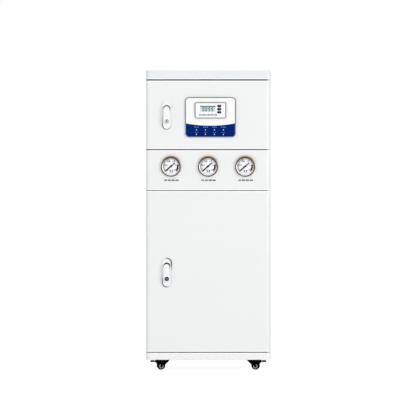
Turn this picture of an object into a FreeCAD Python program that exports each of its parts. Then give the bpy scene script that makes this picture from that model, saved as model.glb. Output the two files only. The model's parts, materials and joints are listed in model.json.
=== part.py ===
"""Ultrapure water system: a floor-standing cabinet on casters with two doors, a gauge panel,
a conductivity controller, and the filter train inside.

Millimetres. The origin is on the floor under the middle of the cabinet, +X to the right, +Y to
the back and +Z up, so the doors face -Y.
"""
import FreeCAD, Part
import math
import os
import re
import Sketcher
from FreeCAD import Placement, Rotation, Vector

SIZES = {
    # cabinet shell, from the floor up
    "cabinet_width": 400,
    "cabinet_depth": 450,
    "caster_height": 33,
    "base_height": 22.6,
    "base_gap": 2.5,
    "lower_door_height": 516.4,
    "lower_gap": 2,
    "gauge_panel_height": 128.5,
    "upper_gap": 3,
    "upper_door_height": 220,
    "cap_gap": 4,
    "cap_height": 28,
    # folded sheet steel
    "sheet_steel": 1.5,
    "corner_radius": 14,
    "rear_radius": 3,
    "fold_radius": 1.5,
    "door_depth": 22,
    "door_clearance": 2.5,
    "frame_depth": 14,
    "post_width": 24,
    "rail_overlap": 24,
    "panel_overlap": 18,
    "side_flange": 12,
    "seal_width": 8,
    "seal_play": 0.3,
    "louvre_length": 90,
    "louvre_height": 5,
    "louvre_pitch": 12,
    "louvre_count": 9,
    "louvre_drop": 40,
    "screw_radius": 4,
    "screw_head": 2,
    # hinges
    "hinge_inset": 7,
    "hinge_setback": 9,
    "pin_radius": 3,
    "running_play": 0.05,
    "collar_play": 0.1,
    "boss_radius": 5,
    "boss_length": 8,
    "boss_floor": 1,
    # door locks
    "lock_inset": 67,
    "upper_lock_rise": 109,
    "lower_lock_rise": 254.4,
    "lock_width": 29,
    "lock_length": 92,
    "lock_thickness": 5,
    "lock_edge": 2,
    "housing_width": 25,
    "housing_length": 68,
    "housing_depth": 12,
    "housing_play": 0.2,
    "finger_wall": 1.5,
    "finger_depth": 9,
    "spindle_drop": 20,
    "spindle_radius": 6,
    "spindle_hole_play": 0.5,
    "lever_width": 20,
    "lever_reach": 48,
    "lever_play": 0.4,
    "lever_stand": 16,
    "lever_edge": 3,
    "plug_radius": 7,
    "plug_depth": 9,
    "key_slot_width": 1.6,
    "key_slot_length": 8,
    "key_slot_depth": 6,
    "cam_play": 0.5,
    "cam_thickness": 2.5,
    "cam_width": 16,
    "cam_clearance": 1.5,
    "cam_screw_radius": 5,
    "cam_screw_head": 3,
    "strike_width": 14,
    "strike_height": 44,
    # controller on the upper door
    "faceplate_width": 162.4,
    "faceplate_height": 129,
    "faceplate_thickness": 3,
    "faceplate_radius": 13,
    "faceplate_shift": 6.9,
    "faceplate_rise": 37.6,
    "band_height": 45.4,
    "band_dip": 7.7,
    "band_thickness": 0.4,
    "lamp_radius": 2.5,
    "lamp_stand": 0.6,
    "lamp_pitch": 28.8,
    "lamp_row_low": 10.5,
    "lamp_row_high": 25,
    "lamp_shift": -1.7,
    "meter_width": 99.8,
    "meter_height": 51,
    "meter_stand": 4,
    "meter_radius": 5,
    "meter_rise": 61.2,
    "meter_body_width": 92,
    "meter_body_height": 45,
    "meter_body_depth": 60,
    "meter_play": 0.3,
    "window_width": 49,
    "window_height": 19,
    "window_thickness": 2,
    "window_shift": -8.4,
    "window_rise": 4.9,
    "window_recess": 0.4,
    "key_width": 13.4,
    "key_height": 6.5,
    "key_shift": 28.1,
    "key_pitch": 10.3,
    "key_rise": 4.1,
    "key_stand": 1,
    "key_travel": 0.8,
    "key_play": 0.15,
    "key_depth": 2.4,
    # pressure gauges
    "gauge_pitch": 119,
    "gauge_rise": 77.3,
    "gauge_radius": 33.5,
    "gauge_depth": 9,
    "gauge_lip_radius": 28,
    "gauge_lip": 1.8,
    "gauge_edge": 1.2,
    "cup_radius": 30,
    "cup_wall": 1,
    "cup_depth": 26,
    "cup_flange": 2,
    "cup_hole_play": 0.3,
    "dial_thickness": 0.6,
    "dial_play": 0.1,
    "lens_thickness": 1.5,
    "lens_seat": 1.4,
    "movement_radius": 8,
    "arbor_radius": 1.2,
    "arbor_length": 6,
    "pointer_gap": 1.2,
    "pointer_thickness": 0.6,
    "pointer_hub": 3,
    "pointer_tip": 24,
    "pointer_tail": 16,
    "pointer_width": 3,
    "stem_radius": 6,
    "stem_length": 14,
    # casters
    "swivel_inset": 54,
    "swivel_setback": 50,
    "plate_size": 46,
    "plate_thickness": 2,
    "kingpin_radius": 3,
    "crown_play": 0.3,
    "crown_thickness": 2.5,
    "crown_radius": 15,
    "wheel_radius": 13.8,
    "wheel_width": 11,
    "wheel_edge": 2.5,
    "wheel_play": 0.5,
    "axle_radius": 2,
    "axle_trail": 6,
    "cheek_thickness": 2,
    "cheek_outer": 26,
    "cheek_inner": 20,
    "cheek_foot": 7,
    "hub_radius": 8.5,
    "hub_recess": 1.2,
    "pedal_pivot": 21,
    "pedal_pivot_rise": 25.6,
    "pedal_reach": 40,
    "pedal_thickness": 2.2,
    "pedal_width": 20,
    "pedal_drop": 2.2,
    "pedal_pin_radius": 1.2,
    # filter train behind the lower door
    "bracket_thickness": 2,
    "bracket_setback": 126,
    "filter_pitch": 122,
    "filter_setback": 100,
    "head_radius": 55,
    "head_height": 50,
    "head_edge": 4,
    "head_neck_radius": 26,
    "head_neck": 6,
    "link_radius": 11,
    "bowl_radius": 48,
    "bowl_foot_radius": 34,
    "bowl_height": 258,
    "bowl_taper": 2,
    "bowl_rib_radius": 52,
    "bowl_rib_height": 24,
    "pump_setback": 115,
    "pump_radius": 45,
    "pump_length": 110,
    "pump_foot": 10,
    "pump_foot_width": 60,
    "pump_head_radius": 36,
    "pump_head_length": 52,
    "pump_port_radius": 6,
    "pump_port_length": 14,
    # tanks and columns at the back
    "tank_height": 363,
    "tank_setback": 7,
    "tank_clearance": 8.5,
    "tank_dome": 60,
    "tank_foot_radius": 80,
    "tank_foot": 22,
    "tank_valve_radius": 9,
    "tank_valve": 30,
    "membrane_radius": 40,
    "membrane_length": 420,
    "membrane_cap_radius": 44,
    "membrane_cap": 36,
    "membrane_clearance": 4.5,
    "membrane_gap": 3,
    "membrane_pitch": 92,
    "membrane_setback": 55,
    "column_radius": 33,
    "column_headroom": 64,
    "column_cap": 20,
    "column_cap_radius": 35,
    "column_clearance": 7,
    "column_pitch": 78,
    "column_setback": 56,
    # shelf, supply and services
    "shelf_skirt": 15,
    "shelf_slot_width": 80,
    "shelf_slot_depth": 30,
    "supply_width": 160,
    "supply_depth": 98,
    "supply_height": 62,
    "supply_shift": 90,
    "supply_setback": 30,
    "port_pitch": 40,
    "port_stand": 16,
    "port_radius": 8,
    "port_bore": 4.8,
    "port_bore_depth": 14,
    "port_nut_radius": 12,
    "port_nut": 7,
    "port_tail": 24,
    "inlet_inset": 60,
    "inlet_rise": 53.5,
    "inlet_width": 31,
    "inlet_height": 24,
    "inlet_flange": 2.5,
    "inlet_body_width": 27,
    "inlet_body_height": 20,
    "inlet_body_depth": 24,
    "inlet_socket_wall": 1.5,
    "inlet_socket_depth": 17,
    "inlet_pin_pitch": 7,
    "inlet_pin_width": 2,
    "inlet_pin_height": 4,
    "inlet_pin_length": 14,
    "switch_gap": 42,
    "switch_width": 15,
    "switch_height": 21,
    "rocker_play": 0.4,
    "rocker_tilt": 9,
    "rocker_stand": 2.4,
    "rocker_pin_radius": 1.5,
    "tube_radius": 3.2,
    "tube_bend": 22,
    "riser_height": 38,
    "riser_setback": 70,
    "bridge_height": 63,
}

# heights and depths that the pieces share
BASE_TOP = "(caster_height + base_height)"
LOWER_DOOR = f"({BASE_TOP} + base_gap)"
LOWER_DOOR_TOP = f"({LOWER_DOOR} + lower_door_height)"
PANEL = f"({LOWER_DOOR_TOP} + lower_gap)"
PANEL_TOP = f"({PANEL} + gauge_panel_height)"
UPPER_DOOR = f"({PANEL_TOP} + upper_gap)"
UPPER_DOOR_TOP = f"({UPPER_DOOR} + upper_door_height)"
CAP = f"({UPPER_DOOR_TOP} + cap_gap)"
CAP_TOP = f"({CAP} + cap_height)"
SIDE = "(cabinet_width / 2)"
SIDE_INNER = f"({SIDE} - sheet_steel)"
FRONT = "(-cabinet_depth / 2)"
BACK = "(cabinet_depth / 2)"
BACK_INNER = f"({BACK} - 2 * sheet_steel)"
DOOR_BACK = f"({FRONT} + door_depth)"
FRAME_FRONT = f"({DOOR_BACK} + door_clearance)"
FRAME_BACK = f"({FRAME_FRONT} + frame_depth)"
OPENING_SIDE = f"({SIDE_INNER} - post_width)"
HINGE_X = f"({SIDE} - hinge_inset)"
HINGE_Y = f"({FRONT} + hinge_setback)"
LOCK_X = f"(lock_inset - {SIDE})"
UPPER_LOCK = f"({UPPER_DOOR} + upper_lock_rise)"
LOWER_LOCK = f"({LOWER_DOOR} + lower_lock_rise)"
SHELF = f"({PANEL_TOP} + sheet_steel)"
FACEPLATE_FRONT = f"({FRONT} - faceplate_thickness)"
GAUGE_Z = f"({PANEL} + gauge_rise)"
FACEPLATE = f"({UPPER_DOOR} + faceplate_rise)"
METER_Z = f"({FACEPLATE} + meter_rise + meter_height / 2)"
INLET_X = f"(inlet_inset - {SIDE})"
INLET_Z = f"({SHELF} + inlet_rise)"
SWITCH_X = f"({INLET_X} + switch_gap)"
KEYS = {"up": "(key_rise + key_pitch)", "set": "key_rise", "down": "(key_rise - key_pitch)"}
GAUGES = {"left": "(-gauge_pitch)", "middle": "0", "right": "gauge_pitch"}
CHEEK = "(wheel_width / 2 + wheel_play)"
CAM_REACH = f"({OPENING_SIDE} + {LOCK_X} - cam_width / 2 - cam_clearance)"
FILTER_Y = f"({FRONT} + filter_setback)"
BRACKET = f"({LOWER_DOOR_TOP} - rail_overlap + sheet_steel + bracket_thickness)"
HEAD = f"({BRACKET} - bracket_thickness - head_height - head_neck)"
LINK_Z = f"({HEAD} + head_height / 2)"
PUMP_Y = f"({FRONT} + pump_setback)"
PUMP_Z = f"({BASE_TOP} + pump_foot + pump_radius)"
TANK_RADIUS = (f"({SIDE_INNER} - membrane_cap_radius - column_cap_radius - "
               "(tank_clearance + column_clearance + membrane_gap + membrane_clearance) / 2)")
TANK_X = f"({TANK_RADIUS} + tank_clearance - {SIDE_INNER})"
TANK_Y = f"({BACK_INNER} - tank_setback - {TANK_RADIUS})"
MEMBRANE_X = f"({SIDE_INNER} - membrane_clearance - membrane_cap_radius)"
COLUMN_X = f"({MEMBRANE_X} - membrane_cap_radius - membrane_gap - column_cap_radius)"
COLUMN_LENGTH = f"({LINK_Z} - {BASE_TOP} - column_headroom)"
PORTS = [f"({TANK_X} + port_pitch * {i})" for i in (-1, 0, 1, 2)]
PORT_INSIDE = f"({BACK} - sheet_steel - port_tail)"

doc = FreeCAD.newDocument("UltrapureWaterSystem")
sheet = doc.addObject("Spreadsheet::Sheet", "Sizes")
reader = doc.addObject("App::FeaturePython", "Reader")
reader.addProperty("App::PropertyFloat", "Answer")
nodes = []


def fill_sheet():
    """Write the driving sizes into the sheet, one named cell for each."""
    for row, (name, size) in enumerate(SIZES.items(), 1):
        sheet.set(f"A{row}", name)
        sheet.set(f"B{row}", str(size))
        sheet.setAlias(f"B{row}", name)
    doc.recompute()


def refer(formula):
    """Return the formula with each size's name turned into a reference to its cell."""
    return re.sub(r"[a-z][a-z_0-9]*",
                  lambda word: "Sizes." + word[0] if word[0] in SIZES else word[0], formula)


def value(formula):
    """Return what a formula gives now, as a number."""
    reader.setExpression("Answer", refer(formula))
    reader.recompute()
    return reader.Answer


def bind(thing, setting, formula):
    """Tie one property of a document object to a formula of the sheet."""
    thing.setExpression(setting, refer(formula))


def place(thing, x="0", y="0", z="0", turn=None):
    """Put an object at three formulas, after an optional turn."""
    if turn:
        thing.Placement = Placement(Vector(), turn)
    for axis, formula in zip("xyz", (x, y, z)):
        bind(thing, f"Placement.Base.{axis}", formula)
    return thing


def node(name, thing):
    """Name a finished sub-part and put it on the list of what is written out."""
    thing.Label = name
    nodes.append(thing)
    return thing


# sketches -----------------------------------------------------------------------------------

def new_body(name):
    """Start a PartDesign body."""
    return doc.addObject("PartDesign::Body", name)


def sketch(body, role, height="0"):
    """Start a sketch on one of the body's own planes, lifted along the plane's normal."""
    flat = next(face for face in body.Origin.OriginFeatures if face.Role == role)
    made = body.newObject("Sketcher::SketchObject", "Outline")
    made.AttachmentSupport = [(flat, "")]
    made.MapMode = "FlatFace"
    bind(made, "AttachmentOffset.Base.z", height)
    return made


def hold(drawn, kind, formula, *place_on):
    """Add one dimension to a sketch and tie it to a formula."""
    number = drawn.addConstraint(Sketcher.Constraint(kind, *place_on, value(formula)))
    bind(drawn, f"Constraints[{number}]", formula)


def hold_point(drawn, edge, end, x, y):
    """Dimension a point of a sketch from the sketch's origin."""
    hold(drawn, "DistanceX", x, -1, 1, edge, end)
    hold(drawn, "DistanceY", y, -1, 1, edge, end)


def spot(x, y):
    """Return the point that two formulas give now."""
    return Vector(value(x), value(y), 0)


def polygon(drawn, points):
    """Draw a closed outline through points that are pairs of formulas."""
    first = drawn.GeometryCount
    count = len(points)
    spots = [spot(*point) for point in points]
    for i in range(count):
        drawn.addGeometry(Part.LineSegment(spots[i], spots[(i + 1) % count]), False)
    for i in range(count):
        following = first + (i + 1) % count
        drawn.addConstraint(Sketcher.Constraint("Coincident", first + i, 2, following, 1))
    for i, point in enumerate(points):
        hold_point(drawn, first + i, 1, *point)
    return drawn


def rectangle(drawn, left, bottom, right, top):
    """Draw a rectangle between two corners."""
    return polygon(drawn, [(left, bottom), (right, bottom), (right, top), (left, top)])


def circle(drawn, x, y, radius):
    """Draw a circle."""
    edge = drawn.addGeometry(Part.Circle(spot(x, y), Vector(0, 0, 1), value(radius)), False)
    hold_point(drawn, edge, 3, x, y)
    hold(drawn, "Radius", radius, edge)
    return drawn


def stadium(drawn, x, y, width, length):
    """Draw an upright slot with round ends, its middle at x and y."""
    radius = value(width) / 2
    reach = f"(({length}) - ({width})) / 2"
    top, bottom = f"{y} + {reach}", f"{y} - {reach}"
    high, low = spot(x, top), spot(x, bottom)
    out = Vector(radius, 0, 0)
    round_end = Part.Circle(high, Vector(0, 0, 1), radius)
    round_foot = Part.Circle(low, Vector(0, 0, 1), radius)
    parts = [Part.ArcOfCircle(round_end, 0, math.pi), Part.LineSegment(high - out, low - out),
             Part.ArcOfCircle(round_foot, math.pi, 2 * math.pi), Part.LineSegment(low + out, high + out)]
    edges = [drawn.addGeometry(part, False) for part in parts]
    for i in range(4):
        drawn.addConstraint(Sketcher.Constraint("Tangent", edges[i], 2, edges[(i + 1) % 4], 1))
    hold_point(drawn, edges[0], 3, x, top)
    hold_point(drawn, edges[2], 3, x, bottom)
    hold(drawn, "Radius", f"({width}) / 2", edges[0])
    return drawn


# features -----------------------------------------------------------------------------------

def feature(body, kind, drawn, length, flip=False):
    """Add a Pad or a Pocket of a sketch to its body."""
    made = body.newObject("PartDesign::" + kind, kind)
    made.Profile = drawn
    bind(made, "Length", length)
    made.Reversed = flip
    return made


def pad(drawn, length, flip=False):
    """Raise a sketch along its normal, or against it where flip is set."""
    return feature(drawn.getParentGeoFeatureGroup(), "Pad", drawn, length, flip)


def pocket(drawn, length, flip=False):
    """Cut a sketch against its normal, or along it where flip is set, and see that it cut."""
    body = drawn.getParentGeoFeatureGroup()
    doc.recompute()
    before = body.Shape.Volume
    made = feature(body, "Pocket", drawn, length, flip)
    doc.recompute()
    if made.Shape.Volume > before - 1e-6:
        raise ValueError(f"{body.Name}: {made.Name} cuts nothing")
    return made


def turned(name, profile, role="XZ_Plane"):
    """Return a body turned about its upright axis, or about Y where the role is XY_Plane."""
    body = new_body(name)
    drawn = polygon(sketch(body, role), profile)
    made = body.newObject("PartDesign::Revolution", "Turned")
    made.Profile = drawn
    made.ReferenceAxis = (drawn, ["V_Axis"])
    made.Angle = 360
    return body


def fillet(body, radius, chosen):
    """Round the edges of a body that a test picks out."""
    doc.recompute()
    base = body.Tip
    picked = [f"Edge{i}" for i, edge in enumerate(base.Shape.Edges, 1) if chosen(edge)]
    if not picked:
        raise ValueError(f"{body.Name}: no edge to round")
    made = body.newObject("PartDesign::Fillet", "Fillet")
    made.Base = (base, picked)
    bind(made, "Radius", radius)
    return made


def along(edge, axis):
    """Tell whether a straight edge runs along one of the axes, given as 0, 1 or 2."""
    return edge.Curve.TypeId == "Part::GeomLine" and abs(edge.Curve.Direction[axis]) > 0.999


def at(edge, axis, formula):
    """Tell whether a whole edge lies at one coordinate."""
    box = edge.BoundBox
    low, high = ((box.XMin, box.XMax), (box.YMin, box.YMax), (box.ZMin, box.ZMax))[axis]
    wanted = value(formula)
    return abs(low - wanted) < 1e-4 and abs(high - wanted) < 1e-4


# primitives ---------------------------------------------------------------------------------

ALONG = {"x": Rotation(Vector(0, 1, 0), 90), "y": Rotation(Vector(1, 0, 0), -90), "z": Rotation()}


def block(low, high):
    """Return a box between two corners, each of three formulas."""
    made = doc.addObject("Part::Box", "Block")
    for setting, start, end in zip(("Length", "Width", "Height"), low, high):
        bind(made, setting, f"({end}) - ({start})")
    return place(made, *low)


def rod(axis, start, radius, length):
    """Return a cylinder that leaves its start point along an axis."""
    made = doc.addObject("Part::Cylinder", "Rod")
    bind(made, "Radius", radius)
    bind(made, "Height", length)
    return place(made, *start, turn=ALONG[axis])


def hexagon(axis, start, radius, length):
    """Return a six-sided prism that leaves its start point along an axis."""
    made = doc.addObject("Part::Prism", "Nut")
    made.Polygon = 6
    bind(made, "Circumradius", radius)
    bind(made, "Height", length)
    return place(made, *start, turn=ALONG[axis])


def fuse(name, *pieces):
    """Return one solid made of several."""
    made = doc.addObject("Part::MultiFuse", name)
    made.Shapes = list(pieces)
    return made


def cut(name, base, *tools):
    """Return a solid with others taken out of it."""
    made = doc.addObject("Part::Cut", name)
    made.Base = base
    made.Tool = tools[0] if len(tools) == 1 else fuse(name + "Tools", *tools)
    return made


def group(name, *pieces):
    """Return several separate solids as one object."""
    made = doc.addObject("Part::Compound", name)
    made.Links = list(pieces)
    return made


# folded sheet steel -------------------------------------------------------------------------

def folded_box(name, bottom, height, back):
    """Return a double-skinned box of sheet steel with round front corners."""
    body = new_body(name)
    pad(rectangle(sketch(body, "XY_Plane", bottom), f"-{SIDE}", FRONT, SIDE, back), height)
    inside = sketch(body, "XY_Plane", f"{bottom} + sheet_steel")
    inner_front = f"{FRONT} + sheet_steel"
    rectangle(inside, f"-{SIDE_INNER}", inner_front, SIDE_INNER, f"{back} - sheet_steel")
    pocket(inside, f"{height} - 2 * sheet_steel", flip=True)
    fillet(body, "corner_radius - sheet_steel", lambda edge: along(edge, 2)
           and at(edge, 1, inner_front) and abs(edge.CenterOfMass.x) > value(SIDE_INNER) - 1e-4)
    fillet(body, "corner_radius", lambda edge: along(edge, 2) and at(edge, 1, FRONT))
    return body


def round_rims(body, bottom, height, back):
    """Round the outer edges at the top and the foot of a folded box, apart from the back's."""
    def outer(edge):
        level = at(edge, 2, bottom) or at(edge, 2, f"{bottom} + {height}")
        box = edge.BoundBox
        wide = max(abs(box.XMin), abs(box.XMax)) > value(SIDE) - value("corner_radius") - 1e-3
        shell = box.YMin < value(FRONT) + 1e-3 or max(abs(box.XMin), abs(box.XMax)) > value(SIDE) - 1e-3
        return level and wide and shell and not at(edge, 1, back)
    fillet(body, "fold_radius", outer)


def hinge_seat(body, face, upward, bore):
    """Add a boss behind a sheet at the hinge line and bore it for the pin."""
    inner = f"{face} + sheet_steel" if upward else f"{face} - sheet_steel"
    pad(circle(sketch(body, "XY_Plane", inner), HINGE_X, HINGE_Y, "boss_radius"), "boss_length",
        flip=not upward)
    pocket(circle(sketch(body, "XY_Plane", face), HINGE_X, HINGE_Y, bore),
           "sheet_steel + boss_length - boss_floor", flip=upward)


def door(name, bottom, height, depth, bore):
    """Return a door or panel of two skins with a hinge boss at each end."""
    back = f"({FRONT} + {depth})"
    body = folded_box(name, bottom, height, back)
    round_rims(body, bottom, height, back)
    hinge_seat(body, bottom, True, bore)
    hinge_seat(body, f"{bottom} + {height}", False, bore)
    return body


def tray(name, bottom, height):
    """Return a box as deep as the cabinet, with smaller round corners at the back."""
    body = folded_box(name, bottom, height, BACK)
    fillet(body, "rear_radius", lambda edge: along(edge, 2) and at(edge, 1, BACK))
    round_rims(body, bottom, height, FRONT)
    return body


def cabinet():
    """Build the fixed sheet steel of the cabinet."""
    base = tray("Base", "caster_height", "base_height")
    hinge_seat(base, BASE_TOP, False, "pin_radius")
    node("base_tray", base)

    cap = tray("Cap", CAP, "cap_height")
    hinge_seat(cap, CAP, True, "pin_radius")
    node("top_cap", cap)

    for side, name in ((-1, "left_side_panel"), (1, "right_side_panel")):
        profile = [(f"{side} * {x}", y) for x, y in (
            (SIDE, FRAME_FRONT), (SIDE_INNER, FRAME_FRONT), (SIDE_INNER, BACK_INNER),
            (f"({SIDE_INNER} - side_flange)", BACK_INNER),
            (f"({SIDE_INNER} - side_flange)", f"{BACK} - sheet_steel"),
            (SIDE_INNER, f"{BACK} - sheet_steel"), (SIDE_INNER, BACK), (SIDE, BACK))]
        panel = new_body("SidePanel")
        pad(polygon(sketch(panel, "XY_Plane", BASE_TOP), profile), f"{CAP} - {BASE_TOP}")
        node(name, panel)

    node("front_frame", front_frame())
    node("rear_panel", rear_panel())
    node("gauge_panel", gauge_panel())
    node("mid_shelf", mid_shelf())
    node("hinge_pins", group("Pins", *hinge_pins()))
    node("door_seals", group("Seals", *(seal(*levels) for levels in (
        (LOWER_DOOR, LOWER_DOOR_TOP), (UPPER_DOOR, UPPER_DOOR_TOP)))))
    node("cabinet_screws", group("Screws", *screws()))


def openings():
    """Return the foot and the head of each opening in the front frame."""
    return [(f"({low} + {overlap})", f"({high} - {overlap})") for low, high, overlap in (
        (LOWER_DOOR, LOWER_DOOR_TOP, "rail_overlap"), (PANEL, PANEL_TOP, "panel_overlap"),
        (UPPER_DOOR, UPPER_DOOR_TOP, "rail_overlap"))]


def channel(left, bottom, right, top, closed):
    """Return a sheet steel channel open at its back, with an end sheet at both sides if closed."""
    shell = block((left, FRAME_FRONT, bottom), (right, FRAME_BACK, top))
    end = "sheet_steel" if closed else "0"
    inside = block((f"{left} + {end}", f"{FRAME_FRONT} + sheet_steel", f"{bottom} + sheet_steel"),
                   (f"{right} - {end}", FRAME_BACK, f"{top} - sheet_steel"))
    return cut("Channel", shell, inside)


def front_frame():
    """Return the welded frame that the doors shut against, and a strike plate for each lock."""
    posts = [channel(f"-{SIDE_INNER}", BASE_TOP, f"-{OPENING_SIDE}", CAP, True),
             channel(OPENING_SIDE, BASE_TOP, SIDE_INNER, CAP, True)]
    edges = [BASE_TOP, *(edge for opening in openings() for edge in opening), CAP]
    rails = [channel(f"-{OPENING_SIDE}", foot, OPENING_SIDE, head, False)
             for foot, head in zip(edges[::2], edges[1::2])]
    levels = [f"{lock} - spindle_drop" for lock in (UPPER_LOCK, LOWER_LOCK)]
    strikes = [block((f"-{OPENING_SIDE}", FRAME_FRONT, f"{level} - strike_height / 2"),
                     (f"strike_width - {OPENING_SIDE}", f"{FRAME_FRONT} + sheet_steel",
                      f"{level} + strike_height / 2")) for level in levels]
    return group("FrameAndStrikes", *posts, *rails, *strikes)


def rear_panel():
    """Return the back sheet with its louvre slots and the cut-outs for the services."""
    body = new_body("Back")
    pad(rectangle(sketch(body, "XZ_Plane", f"-({BACK} - sheet_steel)"), f"-{SIDE_INNER}", BASE_TOP,
                  SIDE_INNER, CAP), "sheet_steel", flip=True)
    services = sketch(body, "XZ_Plane", f"-{BACK}")
    for x in PORTS:
        circle(services, x, LINK_Z, "port_radius")
    for x, width, height in ((INLET_X, "inlet_body_width", "inlet_body_height"),
                             (SWITCH_X, "switch_width", "switch_height")):
        rectangle(services, f"{x} - {width} / 2", f"{INLET_Z} - {height} / 2",
                  f"{x} + {width} / 2", f"{INLET_Z} + {height} / 2")
    pocket(services, "2 * sheet_steel", flip=True)
    slot = sketch(body, "XZ_Plane", f"-{BACK}")
    rectangle(slot, "supply_shift - louvre_length / 2", f"{CAP} - louvre_drop - louvre_height",
              "supply_shift + louvre_length / 2", f"{CAP} - louvre_drop")
    first = pocket(slot, "2 * sheet_steel", flip=True)
    row = body.newObject("PartDesign::LinearPattern", "Louvres")
    row.Originals = [first]
    row.Direction = (slot, ["V_Axis"])
    row.Reversed = True
    bind(row, "Length", "louvre_pitch * (louvre_count - 1)")
    bind(row, "Occurrences", "louvre_count")
    body.Tip = row
    return body


def gauge_panel():
    """Return the fixed panel between the doors, cut out for three gauges."""
    body = door("GaugePanel", PANEL, "gauge_panel_height", "(door_depth + door_clearance)",
                "pin_radius")
    drawn = sketch(body, "XZ_Plane", f"-{FRONT}")
    for x in GAUGES.values():
        circle(drawn, x, GAUGE_Z, "cup_radius + cup_hole_play")
    pocket(drawn, "door_depth + door_clearance")
    return body


def mid_shelf():
    """Return the shelf between the bays, skirted at both sides and slotted for tubes."""
    body = new_body("Shelf")
    inner, foot = f"({SIDE_INNER} - sheet_steel)", f"({SHELF} - shelf_skirt)"
    profile = [(f"-{SIDE_INNER}", foot), (f"-{inner}", foot), (f"-{inner}", f"{SHELF} - sheet_steel"),
               (inner, f"{SHELF} - sheet_steel"), (inner, foot), (SIDE_INNER, foot),
               (SIDE_INNER, SHELF), (f"-{SIDE_INNER}", SHELF)]
    pad(polygon(sketch(body, "XZ_Plane", f"-{FRAME_BACK}"), profile),
        f"{BACK_INNER} - {FRAME_BACK}", flip=True)
    pocket(rectangle(sketch(body, "XY_Plane", SHELF), "-shelf_slot_width / 2",
                     f"{FRAME_BACK} + shelf_slot_depth", "shelf_slot_width / 2",
                     f"{FRAME_BACK} + 2 * shelf_slot_depth"), "2 * sheet_steel")
    return body


def hinge_pins():
    """Return the four hinge pins, each with a collar that carries the door."""
    pins = []
    for face, gap, upward in ((BASE_TOP, "base_gap", True), (PANEL, "lower_gap", False),
                              (PANEL_TOP, "upper_gap", True), (CAP, "cap_gap", False)):
        seat = "(sheet_steel + boss_length - boss_floor)"
        reach = f"({seat} - boss_floor)"
        low = f"{face} - {seat}" if upward else f"{face} - {gap} - {reach}"
        shaft = rod("z", (HINGE_X, HINGE_Y, low), "pin_radius", f"{seat} + {gap} + {reach}")
        foot = face if upward else f"{face} - {gap} + collar_play"
        collar = rod("z", (HINGE_X, HINGE_Y, foot), "boss_radius", f"{gap} - collar_play")
        pins.append(fuse("Pin", shaft, collar))
    return pins


def seal(low, high):
    """Return the rubber strip that runs round one door's opening on the frame."""
    body = new_body("Seal")
    drawn = sketch(body, "XZ_Plane", f"-{FRAME_FRONT}")
    for grow in ("seal_width", "0"):
        rectangle(drawn, f"-{OPENING_SIDE} - {grow}", f"{low} + rail_overlap - {grow}",
                  f"{OPENING_SIDE} + {grow}", f"{high} - rail_overlap + {grow}")
    pad(drawn, "door_clearance - seal_play")
    return body


def screws():
    """Return the screw heads on the back panel, down both edges."""
    edge = f"({SIDE_INNER} - side_flange / 2)"
    levels = [f"{BASE_TOP} + ({CAP} - {BASE_TOP}) * {share}" for share in (0.03, 0.35, 0.65, 0.97)]
    return [rod("y", (f"{side} * {edge}", BACK, level), "screw_radius", "screw_head")
            for side in (-1, 1) for level in levels]


# door locks ---------------------------------------------------------------------------------

def lock(prefix, height):
    """Build one flush lever lock: base, swinging lever with its cam, and key plug.

    The bodies are drawn about the lock's middle on the door's face and then placed.
    """
    spindle = "(-spindle_drop)"
    cam_front = f"(door_depth + door_clearance + sheet_steel + cam_play)"

    base = new_body("LockBase")
    pad(stadium(sketch(base, "XZ_Plane"), "0", "0", "lock_width", "lock_length"), "lock_thickness")
    fillet(base, "lock_edge", lambda edge: at(edge, 1, "-lock_thickness"))
    pad(stadium(sketch(base, "XZ_Plane"), "0", "0", "housing_width", "housing_length"),
        "housing_depth", flip=True)
    finger = sketch(base, "XZ_Plane", "lock_thickness")
    pocket(circle(finger, "0", "(housing_length - housing_width) / 2",
                  "housing_width / 2 - finger_wall"), "finger_depth")
    bore = sketch(base, "XZ_Plane", "lock_thickness")
    pocket(circle(bore, "0", spindle, "spindle_radius + running_play"),
           "lock_thickness + housing_depth")
    node(prefix + "_lock_base", place(base, LOCK_X, FRONT, height))

    lever = new_body("Lever")
    back = "(lock_thickness + lever_play)"
    length = "(lever_reach + lever_width / 2)"
    middle = f"({spindle} + (lever_reach - lever_width / 2) / 2)"
    pad(stadium(sketch(lever, "XZ_Plane", back), "0", middle, "lever_width", length),
        f"lever_stand - {back}")
    fillet(lever, "lever_edge", lambda edge: at(edge, 1, "-lever_stand"))
    pad(circle(sketch(lever, "XZ_Plane", back), "0", spindle, "spindle_radius"),
        f"{back} + {cam_front}", flip=True)
    pocket(circle(sketch(lever, "XZ_Plane", "lever_stand"), "0", spindle,
                  "plug_radius + running_play"), "plug_depth")
    node(prefix + "_lock_lever", place(lever, LOCK_X, FRONT, height))

    plug = new_body("Plug")
    pad(circle(sketch(plug, "XZ_Plane", "lever_stand"), "0", spindle, "plug_radius"),
        "plug_depth", flip=True)
    pocket(rectangle(sketch(plug, "XZ_Plane", "lever_stand"), "-key_slot_width / 2",
                     f"{spindle} - key_slot_length / 2", "key_slot_width / 2",
                     f"{spindle} + key_slot_length / 2"), "key_slot_depth")
    node(prefix + "_lock_plug", place(plug, LOCK_X, FRONT, height))

    cam = new_body("Cam")
    plate = sketch(cam, "XZ_Plane", f"-{cam_front}")
    middle = f"({spindle} + {CAM_REACH} / 2)"
    pad(stadium(plate, "0", middle, "cam_width", f"({CAM_REACH} + cam_width)"),
        "cam_thickness", flip=True)
    pad(circle(sketch(cam, "XZ_Plane", f"-{cam_front} - cam_thickness"), "0", spindle,
               "cam_screw_radius"), "cam_screw_head", flip=True)
    node(prefix + "_lock_cam", place(cam, LOCK_X, FRONT, height))


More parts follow.
